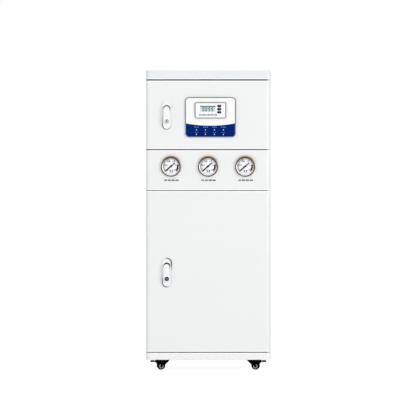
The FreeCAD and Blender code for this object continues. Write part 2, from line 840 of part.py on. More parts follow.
def doors():
    """Build both doors with their locks."""
    for prefix, bottom, height, middle in (
            ("lower", LOWER_DOOR, "lower_door_height", LOWER_LOCK),
            ("upper", UPPER_DOOR, "upper_door_height", UPPER_LOCK)):
        body = door("Door", bottom, height, "door_depth", "pin_radius + running_play")
        pocket(stadium(sketch(body, "XZ_Plane", f"-{FRONT}"), LOCK_X, middle,
                       "housing_width + 2 * housing_play", "housing_length + 2 * housing_play"),
               "2 * sheet_steel")
        through = sketch(body, "XZ_Plane", f"-{FRONT}")
        circle(through, LOCK_X, f"{middle} - spindle_drop", "spindle_radius + spindle_hole_play")
        if prefix == "upper":
            meter_hole(through)
        pocket(through, "door_depth")
        node(prefix + "_door", body)
        lock(prefix, middle)


# controller ---------------------------------------------------------------------------------

def meter_hole(drawn):
    """Draw the cut-out that the meter's body passes through."""
    half_width = "(meter_body_width / 2 + meter_play)"
    half_height = "(meter_body_height / 2 + meter_play)"
    return rectangle(drawn, f"faceplate_shift - {half_width}", f"{METER_Z} - {half_height}",
                     f"faceplate_shift + {half_width}", f"{METER_Z} + {half_height}")


def lamp_places():
    """Return the middle of each indicator lamp on the faceplate."""
    return [(f"faceplate_shift + lamp_shift + lamp_pitch * {column}", f"{FACEPLATE} + {row}")
            for row in ("lamp_row_low", "lamp_row_high") for column in (-1.5, -0.5, 0.5, 1.5)]


def faceplate():
    """Build the controller's faceplate, its coloured band and the indicator lamps."""
    left, right = ("(faceplate_shift - faceplate_width / 2)", "(faceplate_shift + faceplate_width / 2)")
    body = new_body("Faceplate")
    drawn = rectangle(sketch(body, "XZ_Plane", f"-{FRONT}"), left, FACEPLATE, right,
                      f"{FACEPLATE} + faceplate_height")
    meter_hole(drawn)
    for x, z in lamp_places():
        circle(drawn, x, z, "lamp_radius")
    pad(drawn, "faceplate_thickness")
    outer = (left, right)
    fillet(body, "faceplate_radius",
           lambda edge: along(edge, 1) and any(at(edge, 0, x) for x in outer))
    node("control_faceplate", body)

    band = new_body("Band")
    plate = sketch(band, "XZ_Plane", f"-{FACEPLATE_FRONT}")
    top = f"({FACEPLATE} + band_height)"
    corners = [spot(*corner) for corner in ((right, top), (left, top), (left, FACEPLATE),
                                            (right, FACEPLATE))]
    dip = spot("faceplate_shift", f"{top} - band_dip")
    plate.addGeometry(Part.Arc(corners[1], dip, corners[0]), False)
    for i in (1, 2, 3):
        plate.addGeometry(Part.LineSegment(corners[i], corners[(i + 1) % 4]), False)
    # the arc runs from the left corner to the right, so its ends join the first and last lines
    plate.addConstraint(Sketcher.Constraint("Coincident", 0, 1, 1, 1))
    plate.addConstraint(Sketcher.Constraint("Coincident", 1, 2, 2, 1))
    plate.addConstraint(Sketcher.Constraint("Coincident", 2, 2, 3, 1))
    plate.addConstraint(Sketcher.Constraint("Coincident", 3, 2, 0, 2))
    hold_point(plate, 1, 1, left, top)
    hold_point(plate, 2, 1, left, FACEPLATE)
    hold_point(plate, 3, 1, right, FACEPLATE)
    hold_point(plate, 3, 2, right, top)
    hold(plate, "Radius", "(faceplate_width ^ 2 / 4 + band_dip ^ 2) / (2 * band_dip)", 0)
    for x, z in lamp_places():
        circle(plate, x, z, "lamp_radius")
    pad(plate, "band_thickness")
    fillet(band, "faceplate_radius", lambda edge: along(edge, 1) and at(edge, 2, FACEPLATE)
           and any(at(edge, 0, x) for x in outer))
    node("indicator_band", band)

    depth = "(faceplate_thickness + band_thickness + lamp_stand)"
    lamps = [rod("y", (x, f"{FRONT} - {depth}", z), "lamp_radius", depth) for x, z in lamp_places()]
    node("indicator_lenses", group("Lamps", *lamps))


def meter():
    """Build the panel meter: case, window and three keys."""
    x0, z0 = "faceplate_shift", METER_Z
    stand = "(faceplate_thickness + meter_stand)"
    body = new_body("Meter")
    bezel = sketch(body, "XZ_Plane", f"-{FACEPLATE_FRONT}")
    pad(rectangle(bezel, f"{x0} - meter_width / 2", f"{z0} - meter_height / 2",
                  f"{x0} + meter_width / 2", f"{z0} + meter_height / 2"), "meter_stand")
    fillet(body, "meter_radius", lambda edge: along(edge, 1))
    fillet(body, "meter_stand / 3", lambda edge: at(edge, 1, f"{FRONT} - {stand}"))
    back = sketch(body, "XZ_Plane", f"-{FACEPLATE_FRONT}")
    pad(rectangle(back, f"{x0} - meter_body_width / 2", f"{z0} - meter_body_height / 2",
                  f"{x0} + meter_body_width / 2", f"{z0} + meter_body_height / 2"),
        "meter_body_depth", flip=True)
    window_x, window_z = f"({x0} + window_shift)", f"({z0} + window_rise)"
    glass = [f"{window_x} - window_width / 2", f"{window_z} - window_height / 2",
             f"{window_x} + window_width / 2", f"{window_z} + window_height / 2"]
    hole = sketch(body, "XZ_Plane", f"-{FRONT} + {stand}")
    pocket(rectangle(hole, *glass), "window_thickness + window_recess")
    wells = sketch(body, "XZ_Plane", f"-{FRONT} + {stand}")
    for rise in KEYS.values():
        rounded_bar(wells, f"{x0} + key_shift", f"{z0} + {rise}", "key_width + 2 * key_play",
                    "key_height + 2 * key_play")
    pocket(wells, "key_depth + key_travel")
    node("meter_case", body)

    front = f"({FRONT} - {stand} + window_recess)"
    node("meter_window", block((glass[0], front, glass[1]),
                               (glass[2], f"{front} + window_thickness", glass[3])))
    for name, rise in KEYS.items():
        key = new_body("Key")
        cap = sketch(key, "XZ_Plane", "key_stand")
        pad(rounded_bar(cap, "0", "0", "key_width", "key_height"), "key_stand + key_depth - key_play",
            flip=True)
        fillet(key, "key_stand / 2", lambda edge: at(edge, 1, "-key_stand"))
        node("meter_button_" + name,
             place(key, f"{x0} + key_shift", f"{FRONT} - {stand}", f"{z0} + {rise}"))


def rounded_bar(drawn, x, y, width, height):
    """Draw a level slot with round ends, its middle at x and y."""
    radius = value(height) / 2
    reach = f"(({width}) - ({height})) / 2"
    left, right = spot(f"{x} - {reach}", y), spot(f"{x} + {reach}", y)
    up = Vector(0, radius, 0)
    axis = Vector(0, 0, 1)
    quarter = math.pi / 2
    parts = [Part.ArcOfCircle(Part.Circle(right, axis, radius), -quarter, quarter),
             Part.LineSegment(right + up, left + up),
             Part.ArcOfCircle(Part.Circle(left, axis, radius), quarter, 3 * quarter),
             Part.LineSegment(left - up, right - up)]
    edges = [drawn.addGeometry(part, False) for part in parts]
    for i in range(4):
        drawn.addConstraint(Sketcher.Constraint("Tangent", edges[i], 2, edges[(i + 1) % 4], 1))
    hold_point(drawn, edges[0], 3, f"{x} + {reach}", y)
    hold_point(drawn, edges[2], 3, f"{x} - {reach}", y)
    hold(drawn, "Radius", f"({height}) / 2", edges[0])
    return drawn


# gauges -------------------------------------------------------------------------------------

def gauges():
    """Build the three pressure gauges, each turned about its own axis and then placed."""
    dial_back = "(-cup_flange)"
    dial_front = f"({dial_back} - dial_thickness)"
    lens_front = "(gauge_lip - gauge_depth)"
    lens_back = f"({lens_front} + lens_thickness)"
    hole = "(arbor_radius + running_play)"
    rim = "(cup_radius - cup_wall)"
    seat = "(cup_radius - 2 * dial_play)"
    flange = "(gauge_radius - gauge_edge / 2)"
    case = [(hole, "0"), ("movement_radius", "0"), ("movement_radius", "cup_depth - cup_wall"),
            (rim, "cup_depth - cup_wall"), (rim, dial_back), (flange, dial_back), (flange, "0"),
            ("cup_radius", "0"), ("cup_radius", "cup_depth"), ("stem_radius", "cup_depth"),
            ("stem_radius", "cup_depth + stem_length"), ("arbor_radius", "cup_depth + stem_length"),
            ("arbor_radius", "arbor_length"), (hole, "arbor_length")]
    bezel = [("gauge_radius", "0"), ("gauge_radius", "gauge_edge - gauge_depth"),
             ("gauge_radius - gauge_edge", "-gauge_depth"),
             ("gauge_lip_radius + gauge_edge", "-gauge_depth"),
             ("gauge_lip_radius", "gauge_edge / 2 - gauge_depth"), ("gauge_lip_radius", lens_front),
             (seat, lens_front), (seat, lens_back), (f"{seat} - lens_seat", lens_back),
             (f"{seat} - lens_seat", dial_front), (seat, dial_front), (seat, dial_back),
             (flange, dial_back), (flange, "0")]
    edge = f"({seat} - dial_play)"
    dial = [(hole, dial_front), (edge, dial_front), (edge, dial_back), (hole, dial_back)]
    lens = [("0", lens_front), (edge, lens_front), (edge, lens_back), ("0", lens_back)]
    for name, profile in (("gauge_cases", case), ("gauge_bezels", bezel), ("gauge_dials", dial),
                          ("gauge_lenses", lens)):
        rings = [place(turned("Ring", profile, "XY_Plane"), x, FRONT, GAUGE_Z)
                 for x in GAUGES.values()]
        node(name, group("Rings", *rings))

    back = f"(-({dial_front}) + pointer_gap)"
    for name, x in GAUGES.items():
        body = new_body("Pointer")
        needle = [("-pointer_width / 2", "-pointer_tail"), ("pointer_width / 2", "-pointer_tail"),
                  ("pointer_width / 2", "0"), ("pointer_width / 3", "pointer_tip"),
                  ("-pointer_width / 3", "pointer_tip"), ("-pointer_width / 2", "0")]
        pad(polygon(sketch(body, "XZ_Plane", back), needle), "pointer_thickness")
        pad(circle(sketch(body, "XZ_Plane", back), "0", "0", "pointer_hub"), "pointer_thickness")
        pad(circle(sketch(body, "XZ_Plane", back), "0", "0", "arbor_radius"),
            f"{back} + arbor_length - 1", flip=True)
        lower_left = Rotation(Vector(0, 1, 0), -131)
        node(f"{name}_pointer", place(body, x, FRONT, GAUGE_Z, lower_left))


# casters ------------------------------------------------------------------------------------

def casters():
    """Build four swivel casters, the front two with a brake pedal that reaches outward."""
    crown_top = "(caster_height - plate_thickness - crown_play)"
    crown = f"({crown_top} - crown_thickness)"
    plates = []
    for row, y in (("front", f"({FRONT} + swivel_setback)"), ("rear", f"({BACK} - swivel_setback)")):
        for side, sign in (("left", -1), ("right", 1)):
            x = f"({sign} * ({SIDE} - swivel_inset))"
            out = Rotation() if sign < 0 else Rotation(Vector(0, 0, 1), 180)
            plate = block((f"{x} - plate_size / 2", f"{y} - plate_size / 2",
                           "caster_height - plate_thickness"),
                          (f"{x} + plate_size / 2", f"{y} + plate_size / 2", "caster_height"))
            length = "(crown_play + crown_thickness)"
            kingpin = rod("z", (x, y, f"caster_height - plate_thickness - {length}"),
                          "kingpin_radius", length)
            plates.append(fuse("Plate", plate, kingpin))
            braked = row == "front"
            node(f"{row}_{side}_fork", place(caster_fork(crown, braked), x, y, "0", out))
            wheel = place(caster_wheel(), f"{x} + {sign} * axle_trail", y, "wheel_radius")
            node(f"{row}_{side}_wheel", wheel)
            if braked:
                node(f"{row}_{side}_pedal", place(brake_pedal(), x, y, "0", out))
    node("caster_plates", group("Plates", *plates))


def caster_fork(crown, braked):
    """Return a fork drawn about its swivel axis, with its wheel towards -X."""
    body = new_body("Fork")
    middle = "(-axle_trail)"
    profile = [("-cheek_outer", f"{crown} + crown_thickness"), ("-cheek_outer", crown),
               (f"{middle} - wheel_radius + 1", "wheel_radius + 4"),
               (f"{middle} - cheek_foot", "wheel_radius - cheek_foot"),
               (f"{middle} + cheek_foot", "wheel_radius - cheek_foot"),
               (f"{middle} + 1.1 * wheel_radius", "wheel_radius + 4"),
               ("cheek_inner", crown), ("cheek_inner", f"{crown} + crown_thickness")]
    for offset in (CHEEK, f"(-{CHEEK} - cheek_thickness)"):
        pad(polygon(sketch(body, "XZ_Plane", offset), profile), "cheek_thickness")
        if offset == CHEEK:
            top = sketch(body, "XY_Plane", crown)
            width = f"({CHEEK} + cheek_thickness)"
            rectangle(top, "-cheek_outer", f"-{width}", "cheek_inner", width)
            pad(top, "crown_thickness")
            pad(circle(sketch(body, "XY_Plane", crown), "0", "0", "crown_radius"), "crown_thickness")
    pocket(circle(sketch(body, "XY_Plane", crown), "0", "0", "kingpin_radius + running_play"),
           "crown_thickness", flip=True)
    pad(circle(sketch(body, "XZ_Plane", f"-{CHEEK} - cheek_thickness"), middle, "wheel_radius",
               "axle_radius"), f"2 * ({CHEEK} + cheek_thickness)")
    if braked:
        drawn = sketch(body, "XZ_Plane", f"-{CHEEK} - cheek_thickness")
        pad(circle(drawn, "-pedal_pivot", "pedal_pivot_rise", "pedal_pin_radius"),
            f"2 * ({CHEEK} + cheek_thickness)")
    return body


def caster_wheel():
    """Return a wheel with a dished hub on both sides, turned about Y."""
    half = "(wheel_width / 2)"
    bore = "(axle_radius + running_play)"
    profile = [(bore, f"-{half}"), ("hub_radius / 2", f"-{half}"),
               ("hub_radius / 2", f"hub_recess - {half}"), ("hub_radius", f"hub_recess - {half}"),
               ("hub_radius", f"-{half}"), ("wheel_radius - wheel_edge", f"-{half}"),
               ("wheel_radius", f"wheel_edge - {half}"), ("wheel_radius", f"{half} - wheel_edge"),
               ("wheel_radius - wheel_edge", half), ("hub_radius", half),
               ("hub_radius", f"{half} - hub_recess"), ("hub_radius / 2", f"{half} - hub_recess"),
               ("hub_radius / 2", half), (bore, half)]
    return turned("Wheel", profile, "XY_Plane")


def brake_pedal():
    """Return the pedal that hangs on the fork's cross pin and reaches past the cheeks."""
    body = new_body("Pedal")
    inner, outer = "(-pedal_pivot + 2 * pedal_pin_radius)", "(-pedal_reach)"
    top = "(pedal_pivot_rise + 1.6 * pedal_pin_radius)"
    profile = [(inner, f"{top} - 3.2 * pedal_pin_radius"), (inner, top), ("-cheek_outer - 0.4", top),
               (outer, f"{top} - pedal_drop + 1.6"), (outer, f"{top} - pedal_drop + 1.6 - pedal_thickness"),
               ("-cheek_outer", f"{top} - pedal_thickness - 0.6"),
               ("-pedal_pivot - 2 * pedal_pin_radius", f"{top} - 3.2 * pedal_pin_radius")]
    width = "(wheel_width - 0.6)"
    pad(polygon(sketch(body, "XZ_Plane", f"-{width} / 2"), profile), width)
    tread = [("-cheek_outer - 0.6", top), (outer, f"{top} - pedal_drop + 1.6"),
             (outer, f"{top} - pedal_drop + 1.6 - pedal_thickness"),
             ("-cheek_outer - 0.6", f"{top} - pedal_thickness - 0.6")]
    pad(polygon(sketch(body, "XZ_Plane", "-pedal_width / 2"), tread), "pedal_width")
    pocket(circle(sketch(body, "XZ_Plane", f"{width} / 2"), "-pedal_pivot", "pedal_pivot_rise",
                  "pedal_pin_radius + running_play"), width)
    return body


# filter train -------------------------------------------------------------------------------

def filters():
    """Build the bracket behind the front rail, and the three filters that hang from it."""
    rail_top = f"({PANEL} + panel_overlap)"
    plate_back = f"({FRAME_BACK} + bracket_setback)"
    body = new_body("Bracket")
    profile = [(FRAME_BACK, f"{BRACKET} - bracket_thickness"),
               (plate_back, f"{BRACKET} - bracket_thickness"), (plate_back, BRACKET),
               (f"{FRAME_BACK} + bracket_thickness", BRACKET),
               (f"{FRAME_BACK} + bracket_thickness", rail_top), (FRAME_BACK, rail_top)]
    pad(polygon(sketch(body, "YZ_Plane", f"-{SIDE_INNER}"), profile), f"2 * {SIDE_INNER}")
    node("filter_bracket", body)

    head_profile = [("0", "0"), ("head_radius - head_edge", "0"), ("head_radius", "head_edge"),
                    ("head_radius", "head_height - 3 * head_edge"),
                    ("head_radius - 3 * head_edge", "head_height"),
                    ("head_neck_radius", "head_height"),
                    ("head_neck_radius", "head_height + head_neck"), ("0", "head_height + head_neck")]
    heads = [place(turned("Head", head_profile), f"{i} * filter_pitch", FILTER_Y, HEAD)
             for i in (-1, 0, 1)]
    link = rod("x", ("-filter_pitch", FILTER_Y, LINK_Z), "link_radius", "2 * filter_pitch")
    node("filter_heads", fuse("Heads", *heads, link))

    top = "(bowl_height - bowl_rib_height)"
    bowl = [("0", "0"), ("bowl_foot_radius", "0"), ("bowl_radius - bowl_taper", "bowl_foot_radius / 2"),
            ("bowl_radius", top), ("bowl_rib_radius", top), ("bowl_rib_radius", "bowl_height"),
            ("0", "bowl_height")]
    bowls = [place(turned("Bowl", bowl), f"{i} * filter_pitch", FILTER_Y, f"{HEAD} - bowl_height")
             for i in (-1, 0, 1)]
    node("filter_bowls", group("Bowls", *bowls))


def pump():
    """Build the booster pump on the cabinet's floor, its shaft along X."""
    x = "(pump_head_length / 2)"
    motor = rod("x", (x, PUMP_Y, PUMP_Z), "pump_radius", "pump_length")
    foot = block((f"{x} + pump_length / 4", f"{PUMP_Y} - pump_foot_width / 2", BASE_TOP),
                 (f"{x} + 3 * pump_length / 4", f"{PUMP_Y} + pump_foot_width / 2", PUMP_Z))
    node("pump_motor", fuse("Motor", motor, foot))
    head = rod("x", (f"-{x}", PUMP_Y, PUMP_Z), "pump_head_radius", "pump_head_length")
    reach = "(pump_head_radius + pump_port_length)"
    ports = [rod("y", ("0", f"{PUMP_Y} - {reach}", PUMP_Z), "pump_port_radius", reach),
             rod("z", ("0", PUMP_Y, PUMP_Z), "pump_port_radius", reach)]
    node("pump_head", fuse("PumpHead", head, *ports))


def vessels():
    """Build the pressure tank, the membrane housings and the polishing columns."""
    foot, dome, wall = "tank_foot", "tank_dome", TANK_RADIUS
    shoulder = "tank_height - tank_valve"
    tank = [("0", "0"), ("tank_foot_radius", "0"), ("tank_foot_radius", foot),
            (f"{wall} * 0.72", f"{foot} + 4"), (f"{wall} - 6", f"{foot} + {dome} / 2"),
            (wall, f"{foot} + {dome}"), (wall, f"{shoulder} - {dome}"),
            (f"{wall} - 6", f"{shoulder} - {dome} / 2"), (f"{wall} * 0.72", f"{shoulder} - 4"),
            (f"{wall} * 0.3", shoulder), ("tank_valve_radius", shoulder),
            ("tank_valve_radius", "tank_height"), ("0", "tank_height")]
    node("pressure_tank", place(turned("Tank", tank), TANK_X, TANK_Y, BASE_TOP))

    def tube_with_caps(radius, length, cap_radius, cap):
        return [("0", "0"), (f"{cap_radius} - 2", "0"), (cap_radius, "2"), (cap_radius, cap),
                (radius, cap), (radius, f"{length} - {cap}"), (cap_radius, f"{length} - {cap}"),
                (cap_radius, f"{length} - 2"), (f"{cap_radius} - 2", length), ("0", length)]

    for name, key, x, length in (
            ("membrane_housings", "membrane", MEMBRANE_X, "membrane_length"),
            ("polishing_columns", "column", COLUMN_X, COLUMN_LENGTH)):
        profile = tube_with_caps(f"{key}_radius", length, f"{key}_cap_radius", f"{key}_cap")
        tubes = [place(turned("Tube", profile), x, f"{BACK} - {key}_setback - {i} * {key}_pitch",
                       BASE_TOP) for i in (0, 1)]
        node(name, group("Tubes", *tubes))


# services -----------------------------------------------------------------------------------

def services():
    """Build the power supply, the water ports, the power inlet with its switch, and the tubes."""
    y = f"({BACK_INNER} - supply_setback)"
    node("power_supply", block(
        ("supply_shift - supply_width / 2", f"{y} - supply_depth", SHELF),
        ("supply_shift + supply_width / 2", y, f"{SHELF} + supply_height")))

    ports = []
    for x in PORTS:
        length = "(port_tail + sheet_steel + port_stand)"
        barrel = rod("y", (x, PORT_INSIDE, LINK_Z), "port_radius", length)
        outer_nut = hexagon("y", (x, BACK, LINK_Z), "port_nut_radius", "port_nut")
        inner_nut = hexagon("y", (x, f"{BACK} - sheet_steel - port_nut", LINK_Z),
                            "port_nut_radius", "port_nut")
        bore = rod("y", (x, f"{BACK} + port_stand - port_bore_depth", LINK_Z),
                   "port_bore", "port_bore_depth")
        ports.append(cut("Port", fuse("Fitting", barrel, outer_nut, inner_nut), bore))
    node("water_ports", group("Ports", *ports))
    node("power_inlet", power_inlet())
    node("power_switch", rocker())
    node("water_tubes", tubes())


def power_inlet():
    """Return the appliance inlet and the switch frame beside it, with the socket's three pins."""
    margin = "(inlet_width - inlet_body_width)"
    inside = f"({BACK} - inlet_body_depth)"
    face = f"({BACK} + inlet_flange)"
    socket_floor = f"({face} - inlet_socket_depth)"

    def core(x, width, height, front, back):
        return block((f"{x} - {width} / 2", front, f"{INLET_Z} - {height} / 2"),
                     (f"{x} + {width} / 2", back, f"{INLET_Z} + {height} / 2"))

    def flange(x, width, height):
        return core(x, width, height, BACK, face)

    inlet = fuse("Inlet", flange(INLET_X, "inlet_width", "inlet_height"),
                 core(INLET_X, "inlet_body_width", "inlet_body_height", inside, BACK),
                 flange(SWITCH_X, f"(switch_width + {margin})", f"(switch_height + {margin})"),
                 core(SWITCH_X, "switch_width", "switch_height", inside, BACK),
                 block((INLET_X, BACK, f"{INLET_Z} - inlet_height / 2"),
                       (SWITCH_X, f"{BACK} + inlet_flange / 2", f"{INLET_Z} + inlet_height / 2")))
    socket = core(INLET_X, "(inlet_body_width - 2 * inlet_socket_wall)",
                  "(inlet_body_height - 2 * inlet_socket_wall)", socket_floor, face)
    well = core(SWITCH_X, "(switch_width - 2 * inlet_socket_wall)",
                "(switch_height - 2 * inlet_socket_wall)", socket_floor, face)
    hollow = cut("Sockets", inlet, socket, well)
    pins = [block((f"{INLET_X} + inlet_pin_pitch * {i} - inlet_pin_width / 2", socket_floor,
                   f"{INLET_Z} + {lift} - inlet_pin_height / 2"),
                  (f"{INLET_X} + inlet_pin_pitch * {i} + inlet_pin_width / 2",
                   f"{socket_floor} + inlet_pin_length", f"{INLET_Z} + {lift} + inlet_pin_height / 2"))
            for i, lift in ((-1, "-inlet_pin_height / 2"), (0, "inlet_pin_height / 2"),
                            (1, "-inlet_pin_height / 2"))]
    pivot = rod("x", (f"{SWITCH_X} - switch_width / 2", BACK, INLET_Z),
                "rocker_pin_radius", "switch_width")
    return fuse("InletAndSwitch", hollow, *pins, pivot)


def rocker():
    """Return the rocker, whose two faces meet in a shallow V over its pivot."""
    body = new_body("Rocker")
    width = "(switch_width - 2 * inlet_socket_wall - 2 * rocker_play)"
    half = "((switch_height - 2 * inlet_socket_wall) / 2 - rocker_play)"
    face = "(inlet_flange + rocker_stand)"
    profile = [("-3.5", f"-{half} * 0.75"), ("inlet_flange", f"-{half}"), (face, f"-{half} + 0.6"),
               (f"{face} - 1.4", "0"), (face, f"{half} - 0.6"), ("inlet_flange", half),
               ("-3.5", f"{half} * 0.75")]
    pad(polygon(sketch(body, "YZ_Plane", f"-{width} / 2"), profile), width)
    pocket(circle(sketch(body, "YZ_Plane", f"{width} / 2"), "0", "0",
                  "rocker_pin_radius + running_play"), width)
    tilt = Rotation(Vector(1, 0, 0), SIZES["rocker_tilt"])
    return place(body, SWITCH_X, BACK, INLET_Z, tilt)


def tubes():
    """Return the water tubes inside as one object, swept along straight runs and round bends."""
    stem_y = f"({FRONT} + cup_depth + stem_length)"
    drop_y = f"({stem_y} + 2 * tube_bend)"
    routes = [[(x, stem_y, GAUGE_Z), (x, drop_y, GAUGE_Z), (x, drop_y, BRACKET)]
              for x in GAUGES.values()]
    head_back = f"({FILTER_Y} + head_radius)"
    routes += [
        [(PORTS[0], PORT_INSIDE, LINK_Z), ("-filter_pitch", head_back, LINK_Z)],
        [(TANK_X, PORT_INSIDE, LINK_Z), (TANK_X, TANK_Y, LINK_Z),
         (TANK_X, TANK_Y, f"{BASE_TOP} + tank_height")]]
    for port, i in ((PORTS[2], 1), (PORTS[3], 0)):
        column_y = f"({BACK} - column_setback - {i} * column_pitch)"
        routes.append([(port, PORT_INSIDE, LINK_Z), (port, column_y, LINK_Z),
                       (COLUMN_X, column_y, LINK_Z),
                       (COLUMN_X, column_y, f"{BASE_TOP} + {COLUMN_LENGTH}")])
    pump_top = f"({PUMP_Z} + pump_head_radius + pump_port_length)"
    riser_y = f"({PUMP_Y} + riser_setback)"
    routes.append([("0", PUMP_Y, pump_top), ("0", PUMP_Y, f"{pump_top} + riser_height"),
                   ("0", riser_y, f"{pump_top} + riser_height"), ("0", riser_y, LINK_Z),
                   ("0", head_back, LINK_Z)])
    membrane_top = f"({BASE_TOP} + membrane_length)"
    ends = [f"({BACK} - membrane_setback - {i} * membrane_pitch)" for i in (0, 1)]
    bridge = f"({membrane_top} + bridge_height)"
    routes.append([(MEMBRANE_X, y, z) for y, z in (
        (ends[0], membrane_top), (ends[0], bridge), (ends[1], bridge), (ends[1], membrane_top))])
    solids = [tube([Vector(*(value(part) for part in point)) for point in route])
              for route in routes]
    made = doc.addObject("Part::Feature", "Tubes")
    made.Shape = Part.makeCompound(solids)
    return made


def tube(points):
    """Return a round tube along straight runs that are joined by tangent arcs."""
    radius, bend = value("tube_radius"), value("tube_bend")
    edges = []
    start = points[0]
    for before, corner, after in zip(points, points[1:], points[2:]):
        inward = (before - corner).normalize()
        outward = (after - corner).normalize()
        turn = math.pi - inward.getAngle(outward)
        back = bend * math.tan(turn / 2)
        first, last = corner + inward * back, corner + outward * back
        heart = corner + (inward + outward).normalize() * (bend / math.cos(turn / 2))
        middle = heart + (corner - heart).normalize() * bend
        edges += [Part.LineSegment(start, first).toShape(), Part.Arc(first, middle, last).toShape()]
        start = last
    edges.append(Part.LineSegment(start, points[-1]).toShape())
    path = Part.Wire(edges)
    ring = Part.Wire(Part.Circle(points[0], points[1] - points[0], radius).toShape())
    swept = path.makePipeShell([ring], True, True)
    wanted = math.pi * radius ** 2 * path.Length
    if abs(swept.Volume - wanted) > 0.01 * wanted:
        raise ValueError("a tube's volume is not its section times its length")
    return swept


def write_out():
    """Check every object and write each sub-part to its own file."""
    doc.recompute()
    failed = [thing.Label for thing in doc.Objects
              if "Invalid" in thing.State or "Error" in thing.State]
    broken = [thing.Label for thing in nodes if thing.Shape.isNull() or not thing.Shape.isValid()]
    if failed or broken:
        raise ValueError(f"failed objects {failed}, unsound shapes {broken}")
    os.makedirs("parts", exist_ok=True)
    for thing in nodes:
        thing.Shape.exportStep(f"parts/{thing.Label}.step")
    print(f"{len(nodes)} sub-parts written")


fill_sheet()
cabinet()
doors()
faceplate()
meter()
gauges()
casters()
filters()
pump()
vessels()
services()
write_out()
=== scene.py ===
"""Dressed model of a floor-standing ultrapure water system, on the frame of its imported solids.

Objects are in metres, with the origin on the floor under the middle of the cabinet, +X to the
right, +Y to the back and +Z up, so the doors face -Y. The forms that make up the new pieces are
drawn in millimetres on a flat sheet: U to the right, V up and W out of the sheet. Each form is
then set on the side of the cabinet that it faces.
"""

import json
import logging
import math
from dataclasses import dataclass
from enum import Enum
from typing import Iterable, Sequence

import bmesh
import bpy
from mathutils import Matrix, Vector

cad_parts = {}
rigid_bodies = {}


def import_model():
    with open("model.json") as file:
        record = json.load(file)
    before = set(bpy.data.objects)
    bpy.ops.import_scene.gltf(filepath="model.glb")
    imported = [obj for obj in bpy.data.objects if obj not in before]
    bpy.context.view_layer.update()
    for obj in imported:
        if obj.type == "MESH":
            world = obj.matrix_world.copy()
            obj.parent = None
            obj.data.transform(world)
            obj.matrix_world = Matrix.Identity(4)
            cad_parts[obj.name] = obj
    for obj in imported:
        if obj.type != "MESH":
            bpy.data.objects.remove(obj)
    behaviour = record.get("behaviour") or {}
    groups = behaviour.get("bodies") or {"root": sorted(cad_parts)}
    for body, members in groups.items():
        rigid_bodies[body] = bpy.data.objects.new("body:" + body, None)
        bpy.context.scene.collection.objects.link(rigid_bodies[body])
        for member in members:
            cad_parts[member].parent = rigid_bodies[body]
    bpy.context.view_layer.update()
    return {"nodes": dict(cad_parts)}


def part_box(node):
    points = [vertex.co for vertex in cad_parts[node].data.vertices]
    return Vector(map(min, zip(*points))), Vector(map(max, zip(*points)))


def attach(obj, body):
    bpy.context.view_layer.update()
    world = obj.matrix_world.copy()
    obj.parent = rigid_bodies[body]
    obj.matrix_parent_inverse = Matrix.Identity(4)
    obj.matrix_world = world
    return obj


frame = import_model()

MM = 0.001
TINY = 1e-6
WELD = 1e-4
FACES_AXIS = 0.9
PRINT_DEPTH = 0.05
GAUGE_PITCH = 119.0
MASK_RANGE = (0.3, 0.7)
SHARE_RANGE = (0.0, 1.0)
WHITE = (1.0, 1.0, 1.0, 1.0)
Pair = tuple[float, float]
Triple = tuple[float, float, float]
Box = tuple[Triple, Triple]
Section = tuple[Pair, ...]
Socket = bpy.types.NodeSocket
Sockets = bpy.types.bpy_prop_collection
log = logging.getLogger("water_system")


# shader groups ------------------------------------------------------------------------------

class Graph:
    """Adds shader nodes to one tree and wires them together."""

    def __init__(self, tree: bpy.types.NodeTree) -> None:
        """Keep the tree that the nodes go to."""
        self.tree = tree

    def feed(self, node: bpy.types.Node, inputs: dict) -> None:
        """Link or set a node's inputs.

        Args:
            node: the node that takes them.
            inputs: a number, colour or output socket for each input, by its name or place.
        """
        for key, given in inputs.items():
            if isinstance(given, Socket):
                self.tree.links.new(given, node.inputs[key])
            else:
                node.inputs[key].default_value = given

    def add(self, kind: str, inputs: dict | None = None, **settings: object) -> bpy.types.Node:
        """Add a node.

        Args:
            kind: the node's type name.
            inputs: a number, colour or output socket for each input, by its name or place.
            settings: the node's own options.

        Returns:
            The new node.
        """
        node = self.tree.nodes.new(kind)
        for option, choice in settings.items():
            setattr(node, option, choice)
        self.feed(node, inputs or {})
        return node

    def figure(self, operation: str, *values: object) -> Socket:
        """Return what a Math node gives for its one, two or three values."""
        node = self.add("ShaderNodeMath", dict(enumerate(values)), operation=operation)
        return node.outputs[0]

    def span(self, value: object, start: Sequence, end: Sequence) -> Socket:
        """Return a value taken from one range to another, and held inside it."""
        ends = {"From Min": start[0], "From Max": start[1], "To Min": end[0], "To Max": end[1]}
        return self.add("ShaderNodeMapRange", {"Value": value, **ends}).outputs["Result"]

    def blend(self, share: object, first: object, second: object, how: str = "MIX") -> Socket:
        """Mix two colours.

        Args:
            share: how much of the second colour there is.
            first: the first colour.
            second: the second colour.
            how: the blend type.

        Returns:
            The socket of the mixed colour.
        """
        node = self.add("ShaderNodeMix", {0: share, 6: first, 7: second},
                        data_type="RGBA", blend_type=how)
        return node.outputs[2]

    def place(self) -> Socket:
        """Return the coordinates of the point that is shaded, on its own object."""
        return self.add("ShaderNodeTexCoord").outputs["Object"]

    def height(self, where: object) -> Socket:
        """Return the Z of a point."""
        return self.add("ShaderNodeSeparateXYZ", {0: where}).outputs["Z"]

    def noise(self, where: object, scale: object, detail: float = 3.0) -> Socket:
        """Return a cloudy value from 0 to 1."""
        node = self.add("ShaderNodeTexNoise", {"Vector": where, "Scale": scale, "Detail": detail})
        return node.outputs["Fac"]


